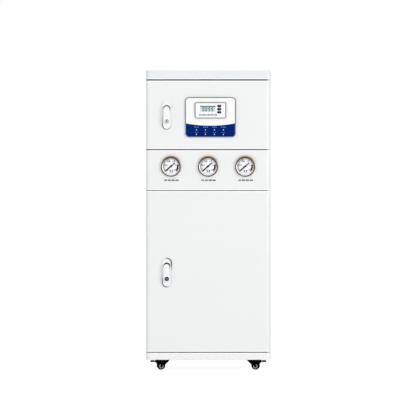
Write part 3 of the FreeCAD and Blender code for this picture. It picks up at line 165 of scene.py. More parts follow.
class Effect:
    """A shader node group that several finishes share. It is built on its first use."""

    name = ""
    inputs: dict[str, str] = {}
    outputs: dict[str, str] = {}

    @classmethod
    def tree(cls) -> bpy.types.NodeTree:
        """Build the group's tree, with its named inputs and outputs, on its first use.

        Returns:
            The tree.
        """
        if cls.name in bpy.data.node_groups:
            return bpy.data.node_groups[cls.name]
        tree = bpy.data.node_groups.new(cls.name, "ShaderNodeTree")
        for side, sockets in (("INPUT", cls.inputs), ("OUTPUT", cls.outputs)):
            for name, kind in sockets.items():
                tree.interface.new_socket(name=name, in_out=side, socket_type="NodeSocket" + kind)
        graph = Graph(tree)
        graph.add("NodeGroupOutput", cls.wire(graph, graph.add("NodeGroupInput").outputs))
        return tree

    @classmethod
    def wire(cls, graph: Graph, given: Sockets) -> dict:
        """Build the inside of the group, which each effect does in its own way."""
        raise NotImplementedError

    @classmethod
    def use(cls, graph: Graph, **values: object) -> Sockets:
        """Place the group in a material and return the sockets of its outputs."""
        return graph.add("ShaderNodeGroup", values, node_tree=cls.tree()).outputs


class SurfaceGrain(Effect):
    """Orange peel in enamel, or the fine texture of a mould."""

    name = "Surface grain"
    inputs = {"Scale": "Float", "Depth": "Float", "Stretch": "Vector"}
    outputs = {"Mask": "Float", "Normal": "Vector"}
    relief = 0.0004

    @classmethod
    def wire(cls, graph: Graph, given: Sockets) -> dict:
        """Build the inside of the group: stretched noise as a mask and as a bump.

        Args:
            graph: the group's graph.
            given: the sockets of the group's inputs.

        Returns:
            A socket for each of the group's outputs, by its name.
        """
        where = graph.add("ShaderNodeMapping", {"Vector": graph.place(), "Scale": given["Stretch"]})
        mask = graph.noise(where.outputs[0], given["Scale"])
        bump = graph.add("ShaderNodeBump", {"Strength": given["Depth"], "Distance": cls.relief,
                                            "Height": mask})
        return {"Mask": mask, "Normal": bump.outputs[0]}


class ColourVariation(Effect):
    """Slow patches of a lighter and a darker tone."""

    name = "Colour variation"
    inputs = {"Colour": "Color", "Scale": "Float", "Amount": "Float"}
    outputs = {"Colour": "Color", "Mask": "Float"}

    @classmethod
    def wire(cls, graph: Graph, given: Sockets) -> dict:
        """Build the inside of the group: the colour times one plus or minus the amount.

        Args:
            graph: the group's graph.
            given: the sockets of the group's inputs.

        Returns:
            A socket for each of the group's outputs, by its name.
        """
        mask = graph.noise(graph.place(), given["Scale"], 5.0)
        shift = graph.figure("MULTIPLY_ADD", mask, 2.0, -1.0)
        factor = graph.figure("MULTIPLY_ADD", shift, given["Amount"], 1.0)
        grey = graph.add("ShaderNodeCombineColor", {0: factor, 1: factor, 2: factor})
        return {"Colour": graph.blend(1.0, given["Colour"], grey.outputs[0], "MULTIPLY"),
                "Mask": mask}


class FloorDust(Effect):
    """Pale dust that thins out with height above the floor."""

    name = "Floor dust"
    inputs = {"Colour": "Color", "Dust": "Color", "Reach": "Float", "Amount": "Float"}
    outputs = {"Colour": "Color", "Mask": "Float"}
    clouds = 90.0
    cloud_range = (0.35, 0.7)

    @classmethod
    def wire(cls, graph: Graph, given: Sockets) -> dict:
        """Build the inside of the group: a cloudy mask that falls with Z.

        Args:
            graph: the group's graph.
            given: the sockets of the group's inputs.

        Returns:
            A socket for each of the group's outputs, by its name.
        """
        where = graph.place()
        reach = graph.figure("DIVIDE", graph.height(where), given["Reach"])
        nearness = graph.figure("SUBTRACT", 1.0, reach)
        cloud = graph.span(graph.noise(where, cls.clouds, 6.0), cls.cloud_range, SHARE_RANGE)
        shade = graph.figure("MULTIPLY", graph.figure("MAXIMUM", nearness, 0.0), cloud)
        mask = graph.figure("MULTIPLY", shade, given["Amount"])
        return {"Colour": graph.blend(mask, given["Colour"], given["Dust"]), "Mask": mask}


class AxisDistance(Effect):
    """How far a point is from an axis along Y, which is repeated at a pitch along X."""

    name = "Axis distance"
    inputs = {"Centre": "Vector", "Pitch": "Float"}
    outputs = {"Radius": "Float"}

    @classmethod
    def wire(cls, graph: Graph, given: Sockets) -> dict:
        """Build the inside of the group: the length of the offset from the nearest axis.

        Args:
            graph: the group's graph.
            given: the sockets of the group's inputs.

        Returns:
            A socket for each of the group's outputs, by its name.
        """
        offset = graph.add("ShaderNodeVectorMath", {0: graph.place(), 1: given["Centre"]},
                           operation="SUBTRACT").outputs[0]
        parts = graph.add("ShaderNodeSeparateXYZ", {0: offset}).outputs
        half = graph.figure("MULTIPLY", given["Pitch"], 0.5)
        across = graph.figure("WRAP", parts["X"], half, graph.figure("MULTIPLY", half, -1.0))
        flat = graph.add("ShaderNodeCombineXYZ", {"X": across, "Y": parts["Z"]}).outputs[0]
        length = graph.add("ShaderNodeVectorMath", {0: flat}, operation="LENGTH")
        return {"Radius": length.outputs["Value"]}


class LatheRings(Effect):
    """Fine rings left by a lathe round each axis."""

    name = "Lathe rings"
    inputs = {"Centre": "Vector", "Pitch": "Float", "Density": "Float", "Depth": "Float"}
    outputs = {"Mask": "Float", "Normal": "Vector"}
    relief = 0.0002

    @classmethod
    def wire(cls, graph: Graph, given: Sockets) -> dict:
        """Build the inside of the group: noise along the distance from the nearest axis.

        Args:
            graph: the group's graph.
            given: the sockets of the group's inputs.

        Returns:
            A socket for each of the group's outputs, by its name.
        """
        radius = AxisDistance.use(graph, Centre=given["Centre"], Pitch=given["Pitch"])["Radius"]
        rings = graph.noise(graph.add("ShaderNodeCombineXYZ", {"X": radius}).outputs[0],
                            given["Density"], 2.0)
        bump = graph.add("ShaderNodeBump", {"Strength": given["Depth"], "Distance": cls.relief,
                                            "Height": rings})
        return {"Mask": rings, "Normal": bump.outputs[0]}


class RimShade(Effect):
    """A soft ring between two distances from each axis."""

    name = "Rim shade"
    inputs = {"Centre": "Vector", "Pitch": "Float", "Inner": "Float", "Outer": "Float"}
    outputs = {"Mask": "Float"}
    softness = 0.0005

    @classmethod
    def wire(cls, graph: Graph, given: Sockets) -> dict:
        """Build the inside of the group: a rise at the inner distance times a fall at the outer.

        Args:
            graph: the group's graph.
            given: the sockets of the group's inputs.

        Returns:
            A socket for each of the group's outputs, by its name.
        """
        radius = AxisDistance.use(graph, Centre=given["Centre"], Pitch=given["Pitch"])["Radius"]
        slopes = []
        for side, ends in (("Inner", SHARE_RANGE), ("Outer", SHARE_RANGE[::-1])):
            edge = [graph.figure("ADD", given[side], sign * cls.softness) for sign in (-1, 1)]
            slopes.append(graph.span(radius, edge, ends))
        return {"Mask": graph.figure("MULTIPLY", *slopes)}


class FoldLight(Effect):
    """The light that folded edges catch on both sides of the gaps between the fronts."""

    name = "Fold light"
    inputs = {"Colour": "Color", "Reach": "Float", "Amount": "Float"}
    outputs = {"Colour": "Color", "Mask": "Float"}
    gaps = (0.05685, 0.5755, 0.7065, 0.93)
    full_share = 0.7

    @classmethod
    def wire(cls, graph: Graph, given: Sockets) -> dict:
        """Build the inside of the group: white near the height of each gap.

        Args:
            graph: the group's graph.
            given: the sockets of the group's inputs.

        Returns:
            A socket for each of the group's outputs, by its name.
        """
        height = graph.height(graph.place())
        nearest = 1.0
        for gap in cls.gaps:
            away = graph.figure("ABSOLUTE", graph.figure("SUBTRACT", height, gap))
            nearest = graph.figure("MINIMUM", away, nearest)
        start = graph.figure("MULTIPLY", given["Reach"], cls.full_share)
        mask = graph.span(nearest, (start, given["Reach"]), (given["Amount"], 0.0))
        return {"Colour": graph.blend(mask, given["Colour"], WHITE), "Mask": mask}


# finishes -----------------------------------------------------------------------------------

def channel(level: float) -> float:
    """Return one display level from 0 to 255 as a linear share."""
    share = level / 255.0
    return share / 12.92 if share <= 0.04045 else ((share + 0.055) / 1.055) ** 2.4


def linear(colour: Triple) -> tuple[float, float, float, float]:
    """Return a display colour from 0 to 255 as the linear colour that a shader takes."""
    return (*(channel(level) for level in colour), 1.0)


@dataclass(frozen=True)
class Finish:
    """A finish: its slot in the record, its colour and gloss, and how they vary.

    The grain is its count per metre and its depth, and the variation is its patches per metre
    and its share of brightness. Streaks stretch the grain along the axes.
    """

    DUST_TONE = (168, 164, 158)
    DUST_REACH = 0.07
    FOLD_REACH = 0.0058
    GLOSS_SPREAD = (0.85, 1.15)

    name: str
    slot: str
    colour: Triple
    roughness: float = 0.4
    metallic: float = 0.0
    grain: Pair = (500.0, 0.04)
    variation: Pair = (5.0, 0.012)
    streaks: Triple = (1.0, 1.0, 1.0)
    coat: float = 0.0
    dust: float = 0.0
    specular: float = 0.5
    fold_light: float = 0.0

    def material(self) -> bpy.types.Material:
        """Build the material on its first use.

        Returns:
            The material.
        """
        if self.name in bpy.data.materials:
            return bpy.data.materials[self.name]
        material = bpy.data.materials.new(self.name)
        material.use_nodes = True
        material.node_tree.nodes.clear()
        graph = Graph(material.node_tree)
        shader = graph.add("ShaderNodeBsdfPrincipled", {"Metallic": self.metallic,
                                                        "Coat Weight": self.coat,
                                                        "Specular IOR Level": self.specular})
        self.dress(graph, shader)
        graph.add("ShaderNodeOutputMaterial", {"Surface": shader.outputs["BSDF"]})
        return material

    def dress(self, graph: Graph, shader: bpy.types.Node) -> None:
        """Wire the colour, gloss and relief into the shader.

        Args:
            graph: the material's graph.
            shader: its Principled BSDF.
        """
        grain = SurfaceGrain.use(graph, Scale=self.grain[0], Depth=self.grain[1],
                                 Stretch=self.streaks)
        tone = ColourVariation.use(graph, Colour=linear(self.colour), Scale=self.variation[0],
                                   Amount=self.variation[1])
        colour = tone["Colour"]
        if self.dust:
            colour = FloorDust.use(graph, Colour=colour, Dust=linear(self.DUST_TONE),
                                   Reach=self.DUST_REACH, Amount=self.dust)["Colour"]
        if self.fold_light:
            colour = FoldLight.use(graph, Colour=colour, Reach=self.FOLD_REACH,
                                   Amount=self.fold_light)["Colour"]
        gloss = [self.roughness * share for share in self.GLOSS_SPREAD]
        graph.feed(shader, {"Base Color": colour, "Normal": grain["Normal"],
                            "Roughness": graph.span(grain["Mask"], MASK_RANGE, gloss)})


@dataclass(frozen=True)
class Lit(Finish):
    """A finish that also glows."""

    glow: float = 0.5

    def dress(self, graph: Graph, shader: bpy.types.Node) -> None:
        """Add the glow to the plain finish.

        Args:
            graph: the material's graph.
            shader: its Principled BSDF.
        """
        super().dress(graph, shader)
        graph.feed(shader, {"Emission Color": linear(self.colour),
                            "Emission Strength": self.glow})


@dataclass(frozen=True)
class Glass(Finish):
    """A thin clear pane with a trace of haze where it is wiped, and a gloss at its edges."""

    SMEAR_RANGE = (0.4, 0.8)
    RIM_RANGE = (0.2, 1.0)
    RIM_BLEND = 0.3

    bend: float = 1.46
    body: Pair = (0.02, 0.3)

    def dress(self, graph: Graph, shader: bpy.types.Node) -> None:
        """Make the shader clear, with a little haze in its gloss.

        Args:
            graph: the material's graph.
            shader: its Principled BSDF.
        """
        rim = graph.add("ShaderNodeLayerWeight", {"Blend": self.RIM_BLEND}).outputs["Facing"]
        smear = graph.noise(graph.place(), self.variation[0], 4.0)
        gloss = (self.roughness, self.roughness + self.variation[1])
        graph.feed(shader, {"Base Color": linear(self.colour), "IOR": self.bend,
                            "Roughness": graph.span(smear, self.SMEAR_RANGE, gloss),
                            "Alpha": graph.span(rim, self.RIM_RANGE, self.body),
                            "Transmission Weight": 1.0})


@dataclass(frozen=True)
class RimShadow:
    """The dark ring inside a gauge's rim, which sits a little low and to the left."""

    centre: Triple = (-0.0011, 0.0, 0.6512)
    pitch: float = GAUGE_PITCH * MM
    band: Pair = (0.0284, 0.0317)
    tone: Triple = (50, 44, 41)

    def over(self, graph: Graph, colour: object) -> Socket:
        """Return a colour with the ring laid over it.

        Args:
            graph: the material's graph.
            colour: the colour under the ring.

        Returns:
            The socket of the darkened colour.
        """
        mask = RimShade.use(graph, Centre=self.centre, Pitch=self.pitch, Inner=self.band[0],
                            Outer=self.band[1])["Mask"]
        return graph.blend(mask, colour, linear(self.tone))


@dataclass(frozen=True)
class TurnedMetal(Finish):
    """Lathe-turned metal rings, with warm painted shade on top and a painted shadow ring inside."""

    WARM_RISE = (0.006, 0.024)
    GLOSS_SPREAD = (0.8, 1.25)

    centre: Triple = (0.0, 0.0, 0.0)
    pitch: float = 10.0
    # Warm, darker tone on the tops of the rings: painted shade.
    warm: Triple = (172, 146, 126)
    shadow: RimShadow = RimShadow()

    def dress(self, graph: Graph, shader: bpy.types.Node) -> None:
        """Wire the rings, the painted shade on top and the painted shadow ring into the shader.

        Args:
            graph: the material's graph.
            shader: its Principled BSDF.
        """
        rings = LatheRings.use(graph, Centre=self.centre, Pitch=self.pitch, Density=self.grain[0],
                               Depth=self.grain[1])
        rise = graph.figure("SUBTRACT", graph.height(graph.place()), self.centre[2])
        share = graph.span(rise, self.WARM_RISE, SHARE_RANGE)
        tone = self.shadow.over(graph, graph.blend(share, linear(self.colour), linear(self.warm)))
        shade = ColourVariation.use(graph, Colour=tone, Scale=self.variation[0],
                                    Amount=self.variation[1])
        gloss = [self.roughness * share for share in self.GLOSS_SPREAD]
        graph.feed(shader, {"Base Color": shade["Colour"], "Normal": rings["Normal"],
                            "Roughness": graph.span(rings["Mask"], MASK_RANGE, gloss)})


@dataclass(frozen=True)
class DialEnamel(Finish):
    """White enamel with the shade of the gauge's rim on it."""

    shadow: RimShadow = RimShadow()

    def dress(self, graph: Graph, shader: bpy.types.Node) -> None:
        """Lay the shade over the plain finish.

        Args:
            graph: the material's graph.
            shader: its Principled BSDF.
        """
        super().dress(graph, shader)
        plain = shader.inputs["Base Color"].links[0].from_socket
        graph.feed(shader, {"Base Color": self.shadow.over(graph, plain)})


@dataclass(frozen=True)
class Graded(Finish):
    """A finish whose colour changes along a direction, between two levels in metres.

    Where it has a fold, the levels are counted from there to both sides.
    """

    SPECKLE_TONE = (40, 40, 44)
    SPECKLE_RANGE = (0.1, 0.6)

    upper: Triple = (255, 255, 255)
    levels: Pair = (0.0, 1.0)
    along: Triple = (0.0, 0.0, 1.0)
    fold: float | None = None
    speckle: float = 0.0

    def dress(self, graph: Graph, shader: bpy.types.Node) -> None:
        """Wire the change of colour and the speckle into the shader.

        Args:
            graph: the material's graph.
            shader: its Principled BSDF.
        """
        super().dress(graph, shader)
        where = graph.place()
        height = graph.add("ShaderNodeVectorMath", {0: where, 1: self.along},
                           operation="DOT_PRODUCT").outputs["Value"]
        if self.fold is not None:
            height = graph.figure("ABSOLUTE", graph.figure("SUBTRACT", height, self.fold))
        grains = graph.add("ShaderNodeTexVoronoi", {"Vector": where, "Scale": self.grain[0]})
        share = graph.span(height, self.levels, SHARE_RANGE)
        tone = graph.blend(share, linear(self.colour), linear(self.upper))
        spots = graph.span(grains.outputs["Distance"], self.SPECKLE_RANGE, (0.0, self.speckle))
        graph.feed(shader, {"Base Color": graph.blend(spots, tone, linear(self.SPECKLE_TONE))})


ENAMEL = Finish("White enamel", "cabinet_enamel", (240, 242, 241), 0.38, dust=0.05)
DOOR_ENAMEL = Finish("Door enamel", "door_enamel", (240, 242, 241), 0.36, dust=0.05,
                     fold_light=0.9)
CAP_ENAMEL = Finish("Lid enamel", "cabinet_enamel", (235, 238, 240), 0.5, fold_light=0.9,
                    specular=0.15)
BASE_ENAMEL = Finish("Base enamel", "cabinet_enamel", (246, 246, 246), 0.4, dust=0.06,
                     fold_light=0.9)
INNER_ENAMEL = Finish("Inner enamel", "cabinet_enamel", (226, 228, 228), 0.5)
ZINC = Finish("Zinc plate", "zinc_plate", (172, 174, 178), 0.36, 1.0, (900.0, 0.08), (60.0, 0.08))
STEEL = Finish("Bright steel", "zinc_plate", (190, 191, 194), 0.24, 1.0, (1500.0, 0.05),
               (80.0, 0.05))
RUBBER = Finish("Door rubber", "seal_rubber", (34, 34, 36), 0.75, 0.0, (1500.0, 0.15),
                (40.0, 0.06))
# Near-black sheets on the frame behind the gaps between the fronts: painted shade that darkens the
# gaps.
GAP_SHADE_RUBBER = Finish("Seal strip", "seal_rubber", (12, 12, 13), 0.8, 0.0, (1500.0, 0.1),
                    (40.0, 0.06), specular=0.1)
LOCK_ENAMEL = Finish("Lock enamel", "lock_enamel", (247, 248, 249), 0.28, coat=0.3)
LOCK_GASKET = Finish("Lock gasket", "seal_rubber", (226, 227, 229), 0.7, 0.0, (1500.0, 0.1))
# Lock trims, lever rims and the lower gasket turn dark on one side and at the bottom: painted shade
# round the raised lock parts.
LOWER_GASKET_SHADE = Graded("Lower lock gasket", "seal_rubber", (226, 227, 229), 0.7,
                      upper=(56, 56, 62), levels=(0.019, 0.030), along=(1.0, 0.0, 0.6), fold=0.0545)
UPPER_TRIM_SHADE = Graded("Upper lock trim", "lock_enamel", (66, 67, 70), 0.45, upper=(236, 237, 239),
                    levels=(0.634, 0.676), along=(1.0, 0.0, 1.0), specular=0.2)
UPPER_RIM_SHADE = Graded("Upper lever rim", "lock_enamel", (238, 239, 241), 0.4, upper=(112, 113, 117),
                   levels=(0.2055, 0.214), along=(1.0, 0.0, 0.4), specular=0.2)
LOWER_RIM_SHADE = Graded("Lower lever rim", "lock_enamel", (236, 237, 239), 0.4, upper=(76, 76, 82),
                   levels=(0.002, 0.011), along=(1.0, 0.0, 0.4), specular=0.2)
LOWER_TRIM_SHADE = Graded("Lower lock trim", "lock_enamel", (236, 237, 237), 0.45, upper=(84, 82, 86),
                    levels=(0.017, 0.032), along=(1.0, 0.0, 0.6), fold=0.0545, specular=0.2)
# Finger cup colours: painted shade in the recess above each lever's tip.
UPPER_CUP_SHADE = Finish("Upper finger cup", "lock_enamel", (150, 151, 155), 0.5, 0.0, (900.0, 0.05),
                   (60.0, 0.05), specular=0.2)
LOWER_CUP_SHADE = Finish("Lower finger cup", "lock_enamel", (38, 38, 42), 0.5, 0.0, (900.0, 0.05),
                   (60.0, 0.05), specular=0.2)
CHROME = Finish("Lock chrome", "lock_chrome", (196, 197, 200), 0.3, 1.0, (900.0, 0.02),
                (60.0, 0.03))
CHROME_FACE = Finish("Chrome face", "lock_chrome", (172, 173, 177), 0.35, 1.0, (900.0, 0.04),
                     (60.0, 0.03))
LOCK_BLUE = Finish("Blue plug", "lock_dark", (6, 24, 38), 0.4, 0.0, (900.0, 0.05), (120.0, 0.1),
                   specular=0.1)
LOCK_GREY_BLUE = Finish("Plug face", "lock_dark", (106, 130, 154), 0.4, 0.0, (900.0, 0.05),
                        (120.0, 0.08), specular=0.1)
# Dark plate on the plug: painted shade standing in for the keyway's slot.
KEYWAY_SHADE = Finish("Keyway", "lock_dark", (24, 25, 28), 0.6)
FACEPLATE = Finish("White film", "faceplate_film", (251, 252, 249), 0.3, 0.0, (1800.0, 0.02),
                   (6.0, 0.006), coat=0.3)
BAND = Finish("Navy film", "band_film", (2, 37, 110), 0.4, 0.0, (1800.0, 0.02), (26.0, 0.3),
              specular=0.02)
# Faceplate and meter edges: grey frames, painted shade along the edges, darker at the plate's top.
PLATE_EDGE_SHADE = Graded("Plate edge", "faceplate_film", (140, 146, 184), 0.5, upper=(98, 98, 116),
                    levels=(0.788, 0.794))
METER_EDGE_SHADE = Finish("Meter edge", "meter_plastic", (98, 102, 107), 0.5)
LAMP_SEAT = Finish("Lamp seat", "lamp_plastic", (6, 38, 100), 0.4, specular=0.05)
LAMP = Lit("Lamp lens", "lamp_plastic", (182, 204, 242), 0.3, glow=0.1)
LAMP_PRINT = Finish("Lamp print", "band_film", (158, 168, 226), 0.5, specular=0.1)
METER = Finish("Meter plastic", "meter_plastic", (250, 250, 251), 0.42, 0.0, (2600.0, 0.06),
               (10.0, 0.008))
DISPLAY = Graded("Display", "display_glass", (204, 228, 228), 0.3, 0.0, (1400.0, 0.01),
                 upper=(190, 214, 210), levels=(0.830, 0.846), specular=0.2)
DISPLAY_SHADE = Finish("Display shade", "display_glass", (72, 100, 92), 0.3, specular=0.2)
DISPLAY_INK = Finish("Display figures", "display_glass", (10, 20, 44), 0.5, specular=0.05)
PRINT = Finish("Grey print", "faceplate_film", (50, 52, 60), 0.5, specular=0.1)
CAPTION = Finish("Dark print", "door_enamel", (16, 16, 24), 0.5, specular=0.05)
KEY = Finish("Navy key", "key_plastic", (5, 8, 36), 0.5, 0.0, (2200.0, 0.05), (90.0, 0.05),
             specular=0.06)
KEY_MARK = Finish("Key mark", "key_plastic", (150, 156, 192), 0.4, specular=0.1)
KEY_RAIL = Finish("Key rail", "key_plastic", (172, 173, 180), 0.5, specular=0.1)
BEZEL = TurnedMetal("Turned steel", "gauge_steel", (222, 219, 214), 0.3, 1.0, (5200.0, 0.05),
                    (50.0, 0.05), centre=(0.0, 0.0, 0.6538), pitch=GAUGE_PITCH * MM)
GAUGE_CASE = Finish("Gauge case", "gauge_case", (38, 38, 40), 0.4, variation=(30.0, 0.05))
DIAL = DialEnamel("Dial enamel", "dial_enamel", (250, 249, 253), 0.4, 0.0, (2200.0, 0.01))
DIAL_PRINT = Finish("Dial print", "dial_enamel", (46, 42, 62), 0.5, specular=0.05)
DIAL_RED = Finish("Dial red", "dial_enamel", (90, 8, 18), 0.5, specular=0.02)
DIAL_TEAL = Finish("Dial teal", "dial_enamel", (6, 78, 88), 0.5, specular=0.02)
GAUGE_GLASS = Glass("Gauge glass", "gauge_glass", (252, 253, 255), 0.01, variation=(30.0, 0.03))
NEEDLE = Finish("Needle enamel", "pointer_black", (4, 4, 5), 0.6, specular=0.04)
CASTER = Finish("Caster enamel", "caster_black", (5, 5, 6), 0.5, 0.0, (700.0, 0.06),
                (60.0, 0.1), specular=0.03)
WHEEL = Finish("Wheel plastic", "wheel_plastic", (6, 6, 7), 0.6, 0.0, (900.0, 0.12),
               (80.0, 0.1), specular=0.03)
PEDAL = Finish("Pedal plastic", "pedal_plastic", (6, 6, 7), 0.55, 0.0, (1500.0, 0.1),
               specular=0.05)
# Pale C-shaped arc on each caster hub: a painted highlight.
HUB_HIGHLIGHT = Finish("Hub ring", "wheel_plastic", (182, 183, 186), 0.4, 0.0, (900.0, 0.05),
                  (80.0, 0.06))
BRACKET = Finish("Bracket enamel", "bracket_enamel", (206, 208, 208), 0.45)
HEAD = Finish("Blue moulding", "head_plastic", (30, 62, 140), 0.42, 0.0, (1400.0, 0.06),
              (14.0, 0.05))
BUTTON = Finish("Red button", "head_plastic", (176, 32, 30), 0.35)
BOWL = Finish("White moulding", "bowl_plastic", (228, 231, 234), 0.3, 0.0, (500.0, 0.03),
              (9.0, 0.02), coat=0.2)
MEMBRANE = Finish("Housing plastic", "membrane_plastic", (232, 234, 236), 0.32, coat=0.15)
CLAMP = Finish("Clip plastic", "membrane_plastic", (60, 62, 66), 0.5)
COLUMN = Graded("Resin column", "column_plastic", (186, 160, 112), 0.24, 0.0, (520.0, 0.05),
                coat=0.5, upper=(206, 198, 172), levels=(0.16, 0.34), speckle=0.5)
COLUMN_CAP = Finish("Column cap", "column_plastic", (36, 70, 140), 0.4)
TANK = Finish("Tank enamel", "tank_enamel", (222, 228, 235), 0.3, coat=0.3)
MOTOR = Finish("Motor enamel", "pump_enamel", (62, 66, 72), 0.45, 0.0, (900.0, 0.12), (30.0, 0.06))
PUMP = Finish("Pump plastic", "pump_plastic", (30, 30, 33), 0.5, 0.0, (1400.0, 0.12))
SUPPLY = Finish("Supply case", "supply_case", (196, 198, 200), 0.34, 1.0, (700.0, 0.06),
                (20.0, 0.04), (1.0, 14.0, 14.0))
VENT = Finish("Vent shade", "supply_case", (26, 27, 29), 0.8)
TERMINAL = Finish("Terminal block", "supply_case", (30, 96, 66), 0.45)
PORT = Finish("Port plastic", "port_plastic", (236, 238, 240), 0.38, 0.0, (1500.0, 0.05))
COLLET = Finish("Collet", "port_plastic", (44, 92, 168), 0.35)
TUBE = Finish("Tube plastic", "tube_plastic", (228, 234, 240), 0.26, coat=0.3)
INLET = Finish("Inlet plastic", "inlet_plastic", (28, 28, 30), 0.45, 0.0, (1800.0, 0.08))
ROCKER = Finish("Red rocker", "rocker_plastic", (168, 28, 24), 0.3, 0.0, (1500.0, 0.03))
ROCKER_MARK = Finish("Rocker mark", "rocker_plastic", (240, 238, 234), 0.4)


# forms --------------------------------------------------------------------------------------

class Facing(Enum):
    """The side that a sheet faces, as the turns about X and then Z that bring it there."""

    FRONT = (90.0, 0.0)
    RIGHT = (90.0, 90.0)
    BACK = (90.0, 180.0)
    LEFT = (90.0, -90.0)
    UP = (0.0, 0.0)

    def turn(self) -> Matrix:
        """Return the turn from the flat sheet to this side."""
        tip, swing = (math.radians(angle) for angle in self.value)
        return Matrix.Rotation(swing, 4, "Z") @ Matrix.Rotation(tip, 4, "X")


def spin_to(angle: float) -> Matrix:
    """Return a turn on the sheet, clockwise from upright, in degrees."""
    return Matrix.Rotation(-math.radians(angle), 4, "Z")


def shift(u: float = 0.0, v: float = 0.0, w: float = 0.0) -> Matrix:
    """Return a move on the sheet."""
    return Matrix.Translation((u, v, w))


def ring_of(count: int, u: float = 0.0, v: float = 0.0) -> list[Matrix]:
    """Return turns that are spread evenly round a point of the sheet."""
    return [shift(u, v) @ spin_to(360.0 * i / count) for i in range(count)]


def around(radius: float, angles: Iterable[float]) -> list[Pair]:
    """Return the points at one distance from the origin, by their angles from upright."""
    turns = [math.radians(angle) for angle in angles]
    return [(radius * math.sin(turn), radius * math.cos(turn)) for turn in turns]


def bounds_of(node: str) -> tuple[Vector, Vector]:
    """Return a CAD node's lowest and highest corners, in millimetres."""
    low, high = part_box(node)
    return low / MM, high / MM


def front_of(node: str) -> float:
    """Return the Y of a CAD node's front, in millimetres."""
    return bounds_of(node)[0].y


def middle_of(node: str) -> Triple:
    """Return the middle of a CAD node's box, in millimetres."""
    return tuple((low + high) / 2 for low, high in zip(*bounds_of(node)))


def band(inner: float, outer: float, foot: float, top: float) -> list[Pair]:
    """Return the section of a square ring, from two radii and two levels."""
    return [(inner, foot), (outer, foot), (outer, top), (inner, top)]


def raised(section: Section, level: float) -> list[Pair]:
    """Return a section moved up to a level over the sheet."""
    return [(radius, level + rise) for radius, rise in section]


def moved(box: Box, u: float, v: float) -> Box:
    """Return a box moved over the sheet."""
    (left, foot, back), (right, top, front) = box
    return (left + u, foot + v, back), (right + u, top + v, front)


